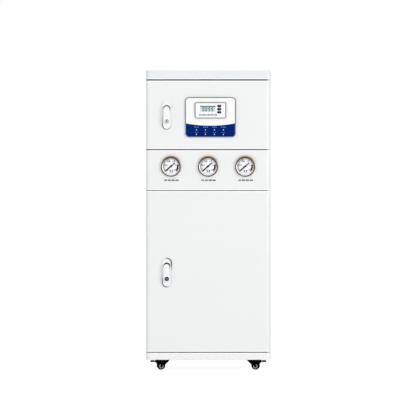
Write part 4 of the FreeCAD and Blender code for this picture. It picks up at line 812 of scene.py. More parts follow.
class Form:
    """A mesh in the making on a flat sheet, in millimetres, with the moves the pieces need."""

    DOME_STEPS = 20
    FIGURE_SHARE = 0.69
    HALF_PRINT = 0.03
    SHARP_ANGLE = math.radians(34.0)

    def __init__(self) -> None:
        """Start with an empty mesh."""
        self.bm = bmesh.new()

    def block(self, low: Triple, high: Triple, bevel: float = 0.0) -> "Form":
        """Add a box between two corners.

        Args:
            low: its lowest corner.
            high: its highest corner.
            bevel: the radius of its edges, where they are round.

        Returns:
            This form.
        """
        size = Vector(high) - Vector(low)
        middle = (Vector(high) + Vector(low)) / 2
        matrix = Matrix.Translation(middle) @ Matrix.Diagonal((*size, 1.0))
        made = bmesh.ops.create_cube(self.bm, size=1.0, matrix=matrix)["verts"]
        if bevel:
            self.round({edge for vert in made for edge in vert.link_edges}, bevel, 2)
        return self

    def plate(self, low: Triple, high: Triple, corner: float, bevel: float = 0.0,
              segments: int = 8) -> "Form":
        """Add a flat plate whose corners on the sheet are round.

        Args:
            low: its lower left corner at the back.
            high: its upper right corner at the front.
            corner: the radius of its corners.
            bevel: the radius of its front edge.
            segments: how many steps a corner has.

        Returns:
            This form.
        """
        part = Form().block(low, high)
        upright = [edge for edge in part.bm.edges
                   if abs(edge.verts[0].co.z - edge.verts[1].co.z) > TINY]
        part.round(upright, corner, segments)
        if bevel:
            part.round(part.edges_at(high[2]), bevel, 3)
        return self.stamp(part)

    def frame(self, low: Triple, high: Triple, corner: float, rim: float,
              segments: int = 8) -> "Form":
        """Add a flat frame with round corners and a rim of one width.

        Args:
            low: its lower left corner at the back.
            high: its upper right corner at the front.
            corner: the radius of its outer corners.
            rim: how wide the rim is.
            segments: how many steps a corner has.

        Returns:
            This form.
        """
        part = Form().plate(low, high, corner, segments=segments)
        flats = [face for face in part.bm.faces if abs(face.normal.z) > FACES_AXIS]
        bmesh.ops.inset_individual(part.bm, faces=flats, thickness=rim)
        edges = [edge for face in flats for edge in face.edges]
        bmesh.ops.delete(part.bm, geom=flats, context="FACES_ONLY")
        bmesh.ops.bridge_loops(part.bm, edges=edges)
        return self.stamp(part)

    def disc(self, u: float, v: float, w: float, radius: float, height: float, sides: int = 32,
             tip: float | None = None, bevel: float = 0.0) -> "Form":
        """Add a round boss that stands on the sheet.

        Args:
            u: where its middle is across.
            v: where its middle is upwards.
            w: the level of its foot.
            radius: its radius at the foot.
            height: how far it stands out.
            sides: how many sides it has.
            tip: its radius at the top, where that differs.
            bevel: the radius of its front edge.

        Returns:
            This form.
        """
        part = Form()
        top = radius if tip is None else tip
        bmesh.ops.create_cone(part.bm, cap_ends=True, segments=sides, radius1=radius, radius2=top,
                              depth=height, matrix=Matrix.Translation((u, v, w + height / 2)))
        if bevel:
            part.round(part.edges_at(w + height), bevel, 3)
        return self.stamp(part)

    def turned(self, profile: Sequence[Pair], u: float = 0.0, v: float = 0.0, start: float = 0.0,
               end: float = 360.0, steps: int = 48) -> "Form":
        """Add a closed profile of radius and level, spun clockwise about W.

        Args:
            profile: the corners of the section, each a radius and a level.
            u: where the axis is across.
            v: where the axis is upwards.
            start: the angle that the sweep starts at, from upright, in degrees.
            end: the angle that it ends at.
            steps: how many steps it takes.

        Returns:
            This form.
        """
        part = Form()
        whole = abs(end - start - 360.0) < TINY
        place = shift(u, v) @ spin_to(start)
        verts = [part.bm.verts.new(place @ Vector((0.0, *corner))) for corner in profile]
        edges = [part.bm.edges.new((verts[i - 1], verts[i])) for i in range(len(verts))]
        bmesh.ops.spin(part.bm, geom=verts + edges, cent=(u, v, 0.0), axis=(0.0, 0.0, -1.0),
                       angle=math.radians(end - start), steps=steps, use_merge=whole)
        bmesh.ops.remove_doubles(part.bm, verts=part.bm.verts, dist=WELD)
        if not whole:
            ends = [edge for edge in part.bm.edges if edge.is_boundary]
            bmesh.ops.holes_fill(part.bm, edges=ends)
        return self.stamp(part)

    def dome(self, u: float, v: float, w: float, radius: float, height: float) -> "Form":
        """Add a lens or a rounded cap that stands on the sheet.

        Args:
            u: where its middle is across.
            v: where its middle is upwards.
            w: the level of its foot.
            radius: its radius at the foot.
            height: how far it stands out.

        Returns:
            This form.
        """
        part = Form()
        bmesh.ops.create_uvsphere(part.bm, u_segments=self.DOME_STEPS,
                                  v_segments=self.DOME_STEPS, radius=1.0)
        ball = part.bm.verts[:] + part.bm.edges[:] + part.bm.faces[:]
        halved = bmesh.ops.bisect_plane(part.bm, geom=ball, dist=1e-5, plane_co=(0, 0, 0),
                                        plane_no=(0, 0, 1), clear_inner=True)
        rim = [edge for edge in halved["geom_cut"] if isinstance(edge, bmesh.types.BMEdge)]
        bmesh.ops.holes_fill(part.bm, edges=rim)
        size = Matrix.Diagonal((radius, radius, height, 1.0))
        return self.stamp(part, [shift(u, v, w) @ size])

    def letters(self, text: str, height: float, u: float, v: float, weight: float = 0.0) -> "Form":
        """Add plain figures, centred on a point of the sheet.

        Args:
            text: the figures.
            height: how tall a figure is.
            u: where their middle is across.
            v: where their middle is upwards.
            weight: how much thicker than plain their strokes are, at each side.

        Returns:
            This form.
        """
        curve = bpy.data.curves.new("figures", "FONT")
        curve.body = text
        curve.size = height / self.FIGURE_SHARE
        curve.align_x, curve.align_y = "CENTER", "CENTER"
        curve.resolution_u = 2
        curve.extrude = self.HALF_PRINT
        curve.offset = weight
        carrier = bpy.data.objects.new("figures", curve)
        bpy.context.scene.collection.objects.link(carrier)
        seen = carrier.evaluated_get(bpy.context.evaluated_depsgraph_get())
        mesh = bpy.data.meshes.new_from_object(seen)
        part = Form()
        part.bm.from_mesh(mesh)
        bmesh.ops.remove_doubles(part.bm, verts=part.bm.verts, dist=WELD)
        for spent, home in ((carrier, bpy.data.objects), (curve, bpy.data.curves),
                            (mesh, bpy.data.meshes)):
            home.remove(spent)
        return self.stamp(part, [shift(u, v, self.HALF_PRINT)])

    def edges_at(self, level: float) -> list[bmesh.types.BMEdge]:
        """Return the edges that lie at one level over the sheet."""
        return [edge for edge in self.bm.edges
                if all(abs(vert.co.z - level) < TINY for vert in edge.verts)]

    def round(self, edges: Iterable, radius: float, segments: int) -> None:
        """Bevel edges.

        Args:
            edges: the edges to bevel.
            radius: how far the bevel goes in from them.
            segments: how many steps it has.
        """
        bmesh.ops.bevel(self.bm, geom=list(edges), offset=radius, offset_type="OFFSET",
                        segments=segments, profile=0.5, affect="EDGES", material=-1,
                        clamp_overlap=True)

    def stamp(self, part: "Form", places: Iterable[Matrix] = (Matrix.Identity(4),)) -> "Form":
        """Add copies of another form and use it up.

        Args:
            part: the form to copy.
            places: a matrix for each copy.

        Returns:
            This form.
        """
        mesh = bpy.data.meshes.new("stamp")
        part.bm.to_mesh(mesh)
        part.bm.free()
        for place in places:
            known = len(self.bm.verts)
            self.bm.from_mesh(mesh)
            self.bm.verts.ensure_lookup_table()
            bmesh.ops.transform(self.bm, matrix=place, verts=self.bm.verts[known:])
        bpy.data.meshes.remove(mesh)
        return self

    def make(self, name: str, finish: Finish, at: Triple, facing: Facing = Facing.FRONT,
             body: str = "cabinet") -> None:
        """Turn the form into a piece that rides on a body.

        Args:
            name: the piece's name.
            finish: what it is finished in.
            at: where the sheet's origin is, in millimetres.
            facing: the side that the sheet faces.
            body: the body that carries it.
        """
        place = Matrix.Scale(MM, 4) @ Matrix.Translation(at) @ facing.turn()
        bmesh.ops.transform(self.bm, matrix=place, verts=self.bm.verts)
        bmesh.ops.recalc_face_normals(self.bm, faces=self.bm.faces)
        for edge in self.bm.edges:
            edge.smooth = edge.calc_face_angle(math.pi) < self.SHARP_ANGLE
        for face in self.bm.faces:
            face.smooth = True
        mesh = bpy.data.meshes.new(name)
        self.bm.to_mesh(mesh)
        self.bm.free()
        mesh.materials.append(finish.material())
        piece = bpy.data.objects.new(name, mesh)
        bpy.context.scene.collection.objects.link(piece)
        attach(piece, body)
        log.info("%s: %d faces on %s", name, len(mesh.polygons), body)


def dress(finish: Finish, *nodes: str) -> None:
    """Give CAD nodes a finish.

    Args:
        finish: what they are finished in.
        nodes: the names of the nodes.
    """
    for name in nodes:
        for slot in frame["nodes"][name].material_slots:
            slot.material = finish.material()
        log.info("%s: %s", name, finish.name)


# cabinet ------------------------------------------------------------------------------------

@dataclass
class Cabinet:
    """The fixed sheet steel, with what is printed, pressed and screwed into it."""

    louvre_count: int = 9
    louvre_pitch: float = 12.0
    louvre_size: Pair = (97.0, 9.0)
    louvre_top: Pair = (90.0, 890.3)
    louvre_depth: float = 3.6
    louvre_lip: float = 0.4
    louvre_fold: float = 0.35
    louvre_sheet: float = 0.7
    caption_drop: float = 45.6
    caption: str = "100 200 300 400"
    caption_height: float = 4.8
    caption_weight: float = 0.34
    screw_radius: float = 4.0
    screw_shares: tuple[float, ...] = (0.0, 0.3404, 0.6596, 1.0)
    cross_size: Pair = (2.6, 0.45)
    cross_depths: Pair = (0.06, 0.061)
    gap_levels: tuple[Pair, ...] = ((55.8, 68.0), (566.0, 584.0), (698.0, 716.0), (920.0, 931.8))
    strip_reach: float = 198.0
    strip_thickness: float = 0.5
    strip_corner: float = 1.0
    panel_level: float = 225.0
    screw_level: float = 227.0

    def build(self) -> None:
        """Dress the sheet steel and add its pieces."""
        dress(ENAMEL, "left_side_panel", "right_side_panel", "rear_panel")
        dress(CAP_ENAMEL, "top_cap")
        dress(BASE_ENAMEL, "base_tray")
        dress(DOOR_ENAMEL, "gauge_panel")
        dress(INNER_ENAMEL, "front_frame", "mid_shelf")
        dress(ZINC, "hinge_pins", "cabinet_screws")
        dress(CASTER, "caster_plates")
        dress(RUBBER, "door_seals")
        self.gap_strips()
        self.louvres()
        self.screw_crosses()
        self.captions()

    def gap_strips(self) -> None:
        """Make the dark strips on the frame behind the gaps between the fronts, painted shade in
        the gaps.
        """
        front = front_of("front_frame")
        form = Form()
        for foot, head in self.gap_levels:
            form.plate((-self.strip_reach, foot, 0.0),
                       (self.strip_reach, head, self.strip_thickness), self.strip_corner,
                       segments=2)
        form.make("frame_seal_strips", GAP_SHADE_RUBBER, (0, front, 0))

    def louvres(self) -> None:
        """Make the pressed hoods over the slots in the back, open at their foot."""
        across, up = (size / 2 for size in self.louvre_size)
        hood = Form().block((-across, -up, 0.0), (across, up, self.louvre_depth))
        crest = [vert for vert in hood.bm.verts if vert.co.y > 0 and vert.co.z > TINY]
        drop = self.louvre_lip - self.louvre_depth
        bmesh.ops.translate(hood.bm, verts=crest, vec=(0.0, 0.0, drop))
        front = [edge for edge in hood.bm.edges if all(vert.co.z > TINY for vert in edge.verts)]
        hood.round(front, self.louvre_fold, 3)
        hidden = [face for face in hood.bm.faces
                  if min(face.normal.y, face.normal.z) < -FACES_AXIS]
        bmesh.ops.delete(hood.bm, geom=hidden, context="FACES")
        bmesh.ops.solidify(hood.bm, geom=hood.bm.faces[:], thickness=self.louvre_sheet)
        x, z = self.louvre_top
        rows = [shift(-x, z - self.louvre_pitch * i) for i in range(self.louvre_count)]
        hoods = Form().stamp(hood, rows)
        hoods.make("rear_louvre_hoods", ENAMEL, (0, self.panel_level, 0), Facing.BACK)

    def screw_crosses(self) -> None:
        """Make the cross recesses in the back panel's screw heads."""
        reach, half = self.cross_size
        level, upright = self.cross_depths
        cross = Form().block((-reach, -half, 0.0), (reach, half, level))
        cross.block((-half, -reach, 0.0), (half, reach, upright))
        low, high = bounds_of("cabinet_screws")
        first, last = low.z + self.screw_radius, high.z - self.screw_radius
        places = [shift(side * (high.x - self.screw_radius), first + (last - first) * share)
                  for side in (-1, 1) for share in self.screw_shares]
        crosses = Form().stamp(cross, places)
        crosses.make("rear_screw_crosses", VENT, (0, self.screw_level, 0), Facing.BACK)

    def captions(self) -> None:
        """Print a plain range of figures under each gauge."""
        level = middle_of("gauge_bezels")[2] - self.caption_drop
        for i in (-1, 0, 1):
            words = Form().letters(self.caption, self.caption_height, GAUGE_PITCH * i, level,
                                   self.caption_weight)
            words.make(f"gauge_caption_{i + 2}", CAPTION, (0, -self.panel_level, 0))


# locks and doors ----------------------------------------------------------------------------

@dataclass
class DoorLock:
    """A flush lever lock. Its parts ride on the door, the lever and the plug."""

    prefix: str
    plug: Finish
    face: Finish
    # The trim, rim and cup finishes, and the lower gasket's, carry painted shade round the lock's
    # raised parts.
    gasket: Finish
    trim: Finish
    rim: Finish
    cup_finish: Finish
    keyway: Triple
    gasket_spare: float = 0.4
    gasket_shift: float = 0.0
    gasket_width: float = 4.0
    gasket_levels: Pair = (-5.0, -4.3)
    trim_spare: float = 0.1
    trim_width: float = 2.1
    trim_levels: Pair = (-2.4, 0.12)
    cup_rise: float = 21.5
    cup_section: Section = ((0.3, 0.05), (10.8, 0.05), (10.8, 8.2), (10.3, 8.2), (10.3, 0.6),
                            (0.3, 0.6))
    cup_level: float = -221.0
    crown_foot: float = 13.0
    crown_inset: float = 3.2
    crown_levels: Pair = (-0.4, 0.7)
    crown_corner_spare: float = 0.05
    crown_round: float = 0.6
    rim_spare: float = 0.1
    rim_width: float = 1.7
    rim_levels: Pair = (-2.2, 0.08)
    collar: Section = ((7.4, -0.3), (9.3, -0.3), (9.3, 0.3), (8.9, 0.7), (7.7, 0.7), (7.4, 0.4))
    face_section: Section = ((0.8, -0.2), (3.3, -0.2), (3.3, 0.25), (2.9, 0.5), (0.8, 0.5))
    keyway_levels: Pair = (-4.0, 0.56)
    keyway_corner: float = 0.4

    def build(self) -> None:
        """Dress the lock; add its trim, cup and keyway in painted shade, and its lever crown."""
        prefix = self.prefix
        dress(LOCK_ENAMEL, f"{prefix}_lock_base", f"{prefix}_lock_lever")
        dress(self.plug, f"{prefix}_lock_plug")
        dress(ZINC, f"{prefix}_lock_cam")
        self.outlines(*bounds_of(f"{prefix}_lock_base"))
        x, _, base = middle_of(f"{prefix}_lock_base")
        cup = Form().turned(self.cup_section, x, base + self.cup_rise)
        cup.make(f"{prefix}_finger_cup", self.cup_finish, (0, self.cup_level, 0),
                 body=f"{prefix}_door")
        pivot = middle_of(f"{prefix}_lock_plug")[2]
        self.lever_parts(x, pivot)
        self.keyhole(x, pivot, front_of(f"{prefix}_lock_plug"))

    def outlines(self, low: Vector, high: Vector) -> None:
        """Make the thin gasket behind the base and the trim round its front, with painted shade.

        Args:
            low: the base's lowest corner.
            high: its highest corner.
        """
        gasket = ("gasket", self.gasket, self.gasket_spare, self.gasket_shift, self.gasket_width,
                  self.gasket_levels)
        trim = ("trim", self.trim, self.trim_spare, 0.0, self.trim_width, self.trim_levels)
        for name, finish, spare, across, rim, (foot, front) in (gasket, trim):
            form = Form().frame((low.x - spare + across, low.z - spare, foot),
                                (high.x + spare + across, high.z + spare, front),
                                (high.x - low.x) / 2 + spare, rim, segments=16)
            form.make(f"{self.prefix}_lock_{name}", finish, (0, low.y, 0),
                      body=f"{self.prefix}_door")

    def lever_parts(self, x: float, pivot: float) -> None:
        """Make the lever's raised face, its rim in painted shade and the collar round its plug.

        Args:
            x: where the lever's middle line is.
            pivot: the height of its spindle.
        """
        low, high = bounds_of(f"{self.prefix}_lock_lever")
        half, inset, spare = (high.x - low.x) / 2, self.crown_inset, self.rim_spare
        body = f"{self.prefix}_lever"
        foot, front = self.crown_levels
        form = Form().plate((x - half + inset, pivot + self.crown_foot, foot),
                            (x + half - inset, high.z - inset, front),
                            half - inset - self.crown_corner_spare, self.crown_round, segments=12)
        form.make(f"{self.prefix}_lever_crown", LOCK_ENAMEL, (0, low.y, 0), body=body)
        foot, front = self.rim_levels
        form = Form().frame((low.x - spare, low.z - spare, foot),
                            (high.x + spare, high.z + spare, front), half + spare,
                            self.rim_width, segments=14)
        form.make(f"{self.prefix}_lever_rim", self.rim, (0, low.y, 0), body=body)
        form = Form().turned(self.collar, x, pivot)
        form.make(f"{self.prefix}_plug_collar", LOCK_ENAMEL, (0, low.y, 0), body=body)

    def keyhole(self, x: float, pivot: float, front: float) -> None:
        """Make the plug's raised face and its keyway, a dark plate painted as the slot's shade.

        Args:
            x: where the plug's middle is across.
            pivot: where it is upwards.
            front: the Y of the plug's front.
        """
        body = f"{self.prefix}_plug"
        face = Form().turned(self.face_section, x, pivot)
        face.make(f"{self.prefix}_plug_face", self.face, (0, front, 0), body=body)
        width, height, rise = self.keyway
        bottom, top = self.keyway_levels
        slot = Form().plate((x - width / 2, pivot + rise - height / 2, bottom),
                            (x + width / 2, pivot + rise + height / 2, top),
                            width * self.keyway_corner, segments=3)
        slot.make(f"{self.prefix}_keyway", KEYWAY_SHADE, (0, front, 0), body=body)


@dataclass
class Doors:
    """Both doors, each with its lock."""

    def build(self) -> None:
        """Dress the doors and build their locks."""
        dress(DOOR_ENAMEL, "lower_door", "upper_door")
        DoorLock("upper", CHROME, CHROME_FACE, LOCK_GASKET, UPPER_TRIM_SHADE, UPPER_RIM_SHADE, UPPER_CUP_SHADE,
                 (3.6, 4.0, 1.2)).build()
        DoorLock("lower", LOCK_BLUE, LOCK_GREY_BLUE, LOWER_GASKET_SHADE, LOWER_TRIM_SHADE, LOWER_RIM_SHADE, LOWER_CUP_SHADE,
                 (1.1, 4.2, 0.0), 1.2, 0.6).build()


# controller ---------------------------------------------------------------------------------

class Mark(Enum):
    """What is printed on a meter key."""

    UP = "up"
    SET = "set"
    DOWN = "down"


@dataclass
class Controller:
    """The faceplate on the upper door, with its meter, keys and two rows of lamps."""

    plate_spare: float = 0.1
    plate_levels: Pair = (-2.8, 0.6)
    plate_corner: float = 13.0
    plate_rim: float = 2.6
    meter_spare: float = 0.2
    meter_levels: Pair = (-3.6, 0.15)
    meter_corner: float = 5.5
    meter_rim: float = 2.5
    reading: str = "0.055"
    figure_size: Pair = (6.5, 12.4)
    figure_pitch: float = 9.5
    figure_lean: float = 0.09
    figure_start: Pair = (0.8, 1.5)
    stroke: float = 2.2
    stroke_gap: float = 0.18
    stroke_corner: float = 0.36
    point_place: Pair = (-1.6, 2.3)
    point_radius: float = 0.8
    ink_depth: float = 0.06
    shade_height: float = 3.4
    shade_margin: float = 0.1
    shade_depth: float = 0.08
    tick_count: int = 20
    tick_overhang: float = 2.0
    tick_levels: Pair = (-12.8, -7.7)
    tick_half: float = 0.65
    number_every: int = 5
    number_height: float = 5.4
    number_level: float = -10.2
    number_weight: float = 0.2
    # Dark lip under each key: a painted shadow.
    lip: Box = ((-5.2, -0.75, 0.0), (4.8, -0.15, 0.4))
    lip_corner: float = 0.25
    rail: Box = ((-3.7, 4.1, 0.0), (3.5, 6.2, 0.3))
    rail_corner: float = 0.4
    ring_mark: Pair = (0.6, 1.4)
    arrow_radius: float = 1.9
    lamp_rows: Pair = (756.1, 770.6)
    lamp_columns: tuple[float, ...] = (-38.0, -9.2, 19.6, 48.4)
    lamp_size: Pair = (1.6, 2.1)
    lamp_height: float = 1.1
    lamp_drop: float = 0.8
    dash_shares: Pair = (0.6, 0.17)
    lamp_labels: tuple[tuple[float, ...], ...] = ((8.0, 3.8, 0.1, 5.2), (5.8, 2.2, 0.0, 3.4))
    band_level: float = -228.4

    SEGMENTS = {"0": "abcdef", "5": "afgcd"}

    def build(self) -> None:
        """Dress the controller and add its print, display figures and lamps."""
        dress(FACEPLATE, "control_faceplate")
        dress(BAND, "indicator_band")
        dress(LAMP_SEAT, "indicator_lenses")
        dress(METER, "meter_case")
        dress(DISPLAY, "meter_window")
        dress(KEY, "meter_button_up", "meter_button_set", "meter_button_down")
        self.edges()
        self.display()
        self.scale()
        self.key_rail()
        for mark in Mark:
            self.key(mark)
        self.lamps()

    def edges(self) -> None:
        """Make the grey edges of the faceplate and the meter, frames painted with edge shade."""
        plate = ("faceplate_edge", "control_faceplate", PLATE_EDGE_SHADE, self.plate_spare,
                 self.plate_levels, self.plate_corner, self.plate_rim, 10)
        meter = ("meter_edge", "meter_case", METER_EDGE_SHADE, self.meter_spare, self.meter_levels,
                 self.meter_corner, self.meter_rim, 8)
        for name, node, finish, spare, (foot, front), corner, rim, steps in (plate, meter):
            low, high = bounds_of(node)
            form = Form().frame((low.x - spare, low.z - spare, foot),
                                (high.x + spare, high.z + spare, front), corner, rim, steps)
            form.make(name, finish, (0, low.y, 0), body="upper_door")

    def figure(self, digit: str) -> Form:
        """Return one digit of seven bars, drawn from its lower left corner.

        Args:
            digit: the digit to draw.

        Returns:
            The digit's form.
        """
        width, height = self.figure_size
        half, bar = height / 2, self.stroke
        boxes = {"a": (0, height - bar, width, height), "b": (width - bar, half, width, height),
                 "c": (width - bar, 0, width, half), "d": (0, 0, width, bar),
                 "e": (0, 0, bar, half), "f": (0, half, bar, height),
                 "g": (0, half - bar / 2, width, half + bar / 2)}
        form, gap = Form(), self.stroke_gap
        for name in self.SEGMENTS[digit]:
            left, foot, right, top = boxes[name]
            form.plate((left + gap, foot + gap, 0.0), (right - gap, top - gap, self.ink_depth),
                       bar * self.stroke_corner, segments=1)
        return form

    def display(self) -> None:
        """Make the display's reading and the shade along its top."""
        low, high = bounds_of("meter_window")
        lean = Matrix.Identity(4)
        lean[0][1] = self.figure_lean
        digits = [char for char in self.reading if char != "."]
        inset, lift = self.figure_start
        start = (low.x + high.x) / 2 - self.figure_pitch * len(digits) / 2 + inset
        form = Form()
        for i, digit in enumerate(digits):
            place = shift(start + self.figure_pitch * i, low.z + lift)
            form.stamp(self.figure(digit), [place @ lean])
        across, up = self.point_place
        point = start + self.figure_pitch * self.reading.index(".") + across
        form.disc(point, low.z + up, 0.0, self.point_radius, self.ink_depth, sides=12)
        form.make("display_figures", DISPLAY_INK, (0, low.y, 0), body="upper_door")
        margin = self.shade_margin
        shade = Form().block((low.x + margin, high.z - self.shade_height, 0.0),
                             (high.x - margin, high.z - margin, self.shade_depth))
        shade.make("display_shade", DISPLAY_SHADE, (0, low.y, 0), body="upper_door")

    def scale(self) -> None:
        """Print a plain scale of ticks and figures under the display."""
        low, high = bounds_of("meter_window")
        front = front_of("meter_case")
        form = Form()
        start, end = low.x - self.tick_overhang, high.x + self.tick_overhang
        foot, head = (low.z + level for level in self.tick_levels)
        for i in range(self.tick_count + 1):
            u = start + (end - start) * i / self.tick_count
            if i % self.number_every == 0:
                form.letters(str(i), self.number_height, u, low.z + self.number_level,
                             self.number_weight)
            else:
                form.block((u - self.tick_half, foot, 0.0), (u + self.tick_half, head, PRINT_DEPTH))
        form.make("display_scale", PRINT, (0, front, 0), body="upper_door")

    def key_rail(self) -> None:
        """Make the rail between the keys, and below each key a dark lip, its painted shadow."""
        front = front_of("meter_case")
        rail, shadow_lips = Form(), Form()
        middles = []
        for mark in Mark:
            node = f"meter_button_{mark.value}"
            u, _, middle = middle_of(node)
            middles.append(middle)
            lip = moved(self.lip, u, bounds_of(node)[0].z)
            shadow_lips.plate(*lip, self.lip_corner, segments=2)
        for middle in sorted(middles)[:2]:
            rail.plate(*moved(self.rail, u, middle), self.rail_corner, segments=2)
        rail.make("key_rail", KEY_RAIL, (0, front, 0), body="upper_door")
        shadow_lips.make("key_lips", KEY, (0, front, 0), body="upper_door")

    def key(self, mark: Mark) -> None:
        """Print one key's mark.

        Args:
            mark: the key and its mark.
        """
        node = f"meter_button_{mark.value}"
        u, _, v = middle_of(node)
        form = Form()
        if mark is Mark.SET:
            form.turned(band(*self.ring_mark, 0.0, PRINT_DEPTH), u, v, steps=24)
        else:
            arrow = Form().disc(0.0, 0.0, 0.0, self.arrow_radius, PRINT_DEPTH, sides=3)
            form.stamp(arrow, [shift(u, v) @ spin_to(0.0 if mark is Mark.UP else -180.0)])
        form.make(f"key_mark_{mark.value}", KEY_MARK, (0, front_of(node), 0),
                  body=f"key_{mark.value}")

    def lamps(self) -> None:
        """Make the lamps' domed lenses and the plain figures over them."""
        level = front_of("indicator_lenses")
        lenses, figures = Form(), Form()
        oval = Matrix.Diagonal((*self.lamp_size, 1.0, 1.0))
        for row, z in enumerate(reversed(self.lamp_rows)):
            rise, height, weight, reach = self.lamp_labels[row]
            half, up = (height * share for share in self.dash_shares)
            for column, x in enumerate(self.lamp_columns):
                lens = Form().dome(0.0, 0.0, 0.0, 1.0, self.lamp_height)
                lenses.stamp(lens, [shift(x, z - self.lamp_drop) @ oval])
                number = row * len(self.lamp_columns) + column + 1
                figures.letters(str(number), height, x, z + rise, weight)
                for u in (x - reach, x + reach):
                    figures.block((u - half, z + rise - up, 0.0),
                                  (u + half, z + rise + up, PRINT_DEPTH))
        lenses.make("lamp_domes", LAMP, (0, level, 0), body="upper_door")
        figures.make("lamp_figures", LAMP_PRINT, (0, self.band_level, 0), body="upper_door")


# gauges -------------------------------------------------------------------------------------

@dataclass
class Gauge:
    """A pressure gauge, from its place in the row of three."""

    name: str
    x: float
    height: float = 653.8
    dial: float = -227.6
    sweep: Pair = (-135.0, 135.0)
    danger: Pair = (80.0, 130.0)
    zone: Pair = (18.6, 23.4)
    zone_depth: float = 0.08
    mark: str = "2.5"
    mark_height: float = 6.4
    mark_level: float = -17.0
    mark_weight: float = 0.42
    dots: tuple[Pair, ...] = ((-4.7, -13.2), (4.7, -13.2))
    dot_radius: float = 1.7
    hub: Section = ((0.4, 0.0), (2.9, 0.0), (2.9, 0.35), (2.2, 0.8), (0.4, 0.95))
    pointing: float = 229.0
    blade: Pair = (4.4, 23.5)
    blade_tail: float = -1.0
    blade_thickness: float = 0.22
    taper: float = 0.7
    tick_radius: float = 26.0
    tick_count: int = 50
    ticks_per_figure: int = 10
    major_tick: Pair = (5.4, 1.6)
    minor_tick: Pair = (4.2, 1.05)
    inner_arc: float = 20.4
    half_line: float = 0.18
    figure_radius: float = 17.0
    figure_height: float = 5.0
    figure_weight: float = 0.25
    figures: tuple[str, ...] = ("0", "0.4", "0.8", "1.2", "1.6", "2")

    def build(self) -> None:
        """Add the dial's print and the hub of the needle."""
        dress(NEEDLE, f"{self.name}_pointer")
        at = (self.x, self.dial, self.height)
        self.ticks().make(f"{self.name}_dial_scale", DIAL_PRINT, at)
        start, end = self.danger
        zone = Form().turned(band(*self.zone, 0.0, self.zone_depth), start=start, end=end,
                             steps=20)
        zone.make(f"{self.name}_dial_zone", DIAL_RED, at)
        mark = Form().letters(self.mark, self.mark_height, 0.0, self.mark_level, self.mark_weight)
        for u, v in self.dots:
            mark.disc(u, v, 0.0, self.dot_radius, PRINT_DEPTH, sides=14)
        mark.make(f"{self.name}_dial_class", DIAL_TEAL, at)
        hub = Form().turned(self.hub)
        needle = f"{self.name}_needle"
        at = (self.x, front_of(f"{self.name}_pointer"), self.height)
        hub.make(f"{needle}_hub", NEEDLE, at, body=needle)
        width, tip = self.blade
        blade = Form().block((-width / 2, self.blade_tail, 0.0),
                             (width / 2, tip, self.blade_thickness))
        for vert in blade.bm.verts:
            if vert.co.y > 0.0:
                vert.co.x *= self.taper
        form = Form().stamp(blade, [spin_to(self.pointing)])
        form.make(f"{needle}_blade", NEEDLE, at, body=needle)

    def ticks(self) -> Form:
        """Draw the scale's ticks, its arcs and its figures.

        Returns:
            The scale's form.
        """
        form = Form()
        first, last = self.sweep
        count = self.tick_count
        angles = [first + (last - first) * i / count for i in range(count + 1)]
        major = angles[::self.ticks_per_figure]
        minor = [angle for i, angle in enumerate(angles) if i % self.ticks_per_figure]
        for kept, (length, width) in ((major, self.major_tick), (minor, self.minor_tick)):
            tick = Form().block((-width / 2, self.tick_radius - length, 0.0),
                                (width / 2, self.tick_radius, PRINT_DEPTH))
            form.stamp(tick, [spin_to(angle) for angle in kept])
        for rim in (self.tick_radius, self.inner_arc):
            line = band(rim - self.half_line, rim + self.half_line, 0.0, PRINT_DEPTH)
            form.turned(line, start=first, end=last, steps=90)
        for figure, (u, v) in zip(self.figures, around(self.figure_radius, major)):
            form.letters(figure, self.figure_height, u, v, self.figure_weight)
        return form


@dataclass
class GaugeRow:
    """The three gauges in the panel between the doors."""

    def build(self) -> None:
        """Dress the gauges and build each of them."""
        dress(BEZEL, "gauge_bezels")
        dress(GAUGE_CASE, "gauge_cases")
        dress(DIAL, "gauge_dials")
        dress(GAUGE_GLASS, "gauge_lenses")
        for i, name in enumerate(("left", "middle", "right")):
            Gauge(name, GAUGE_PITCH * (i - 1)).build()


# casters ------------------------------------------------------------------------------------

class Row(Enum):
    """The two rows of casters."""

    FRONT = "front"
    REAR = "rear"


class Side(Enum):
    """The two sides of the cabinet, with the sign of X there."""

    LEFT = -1
    RIGHT = 1


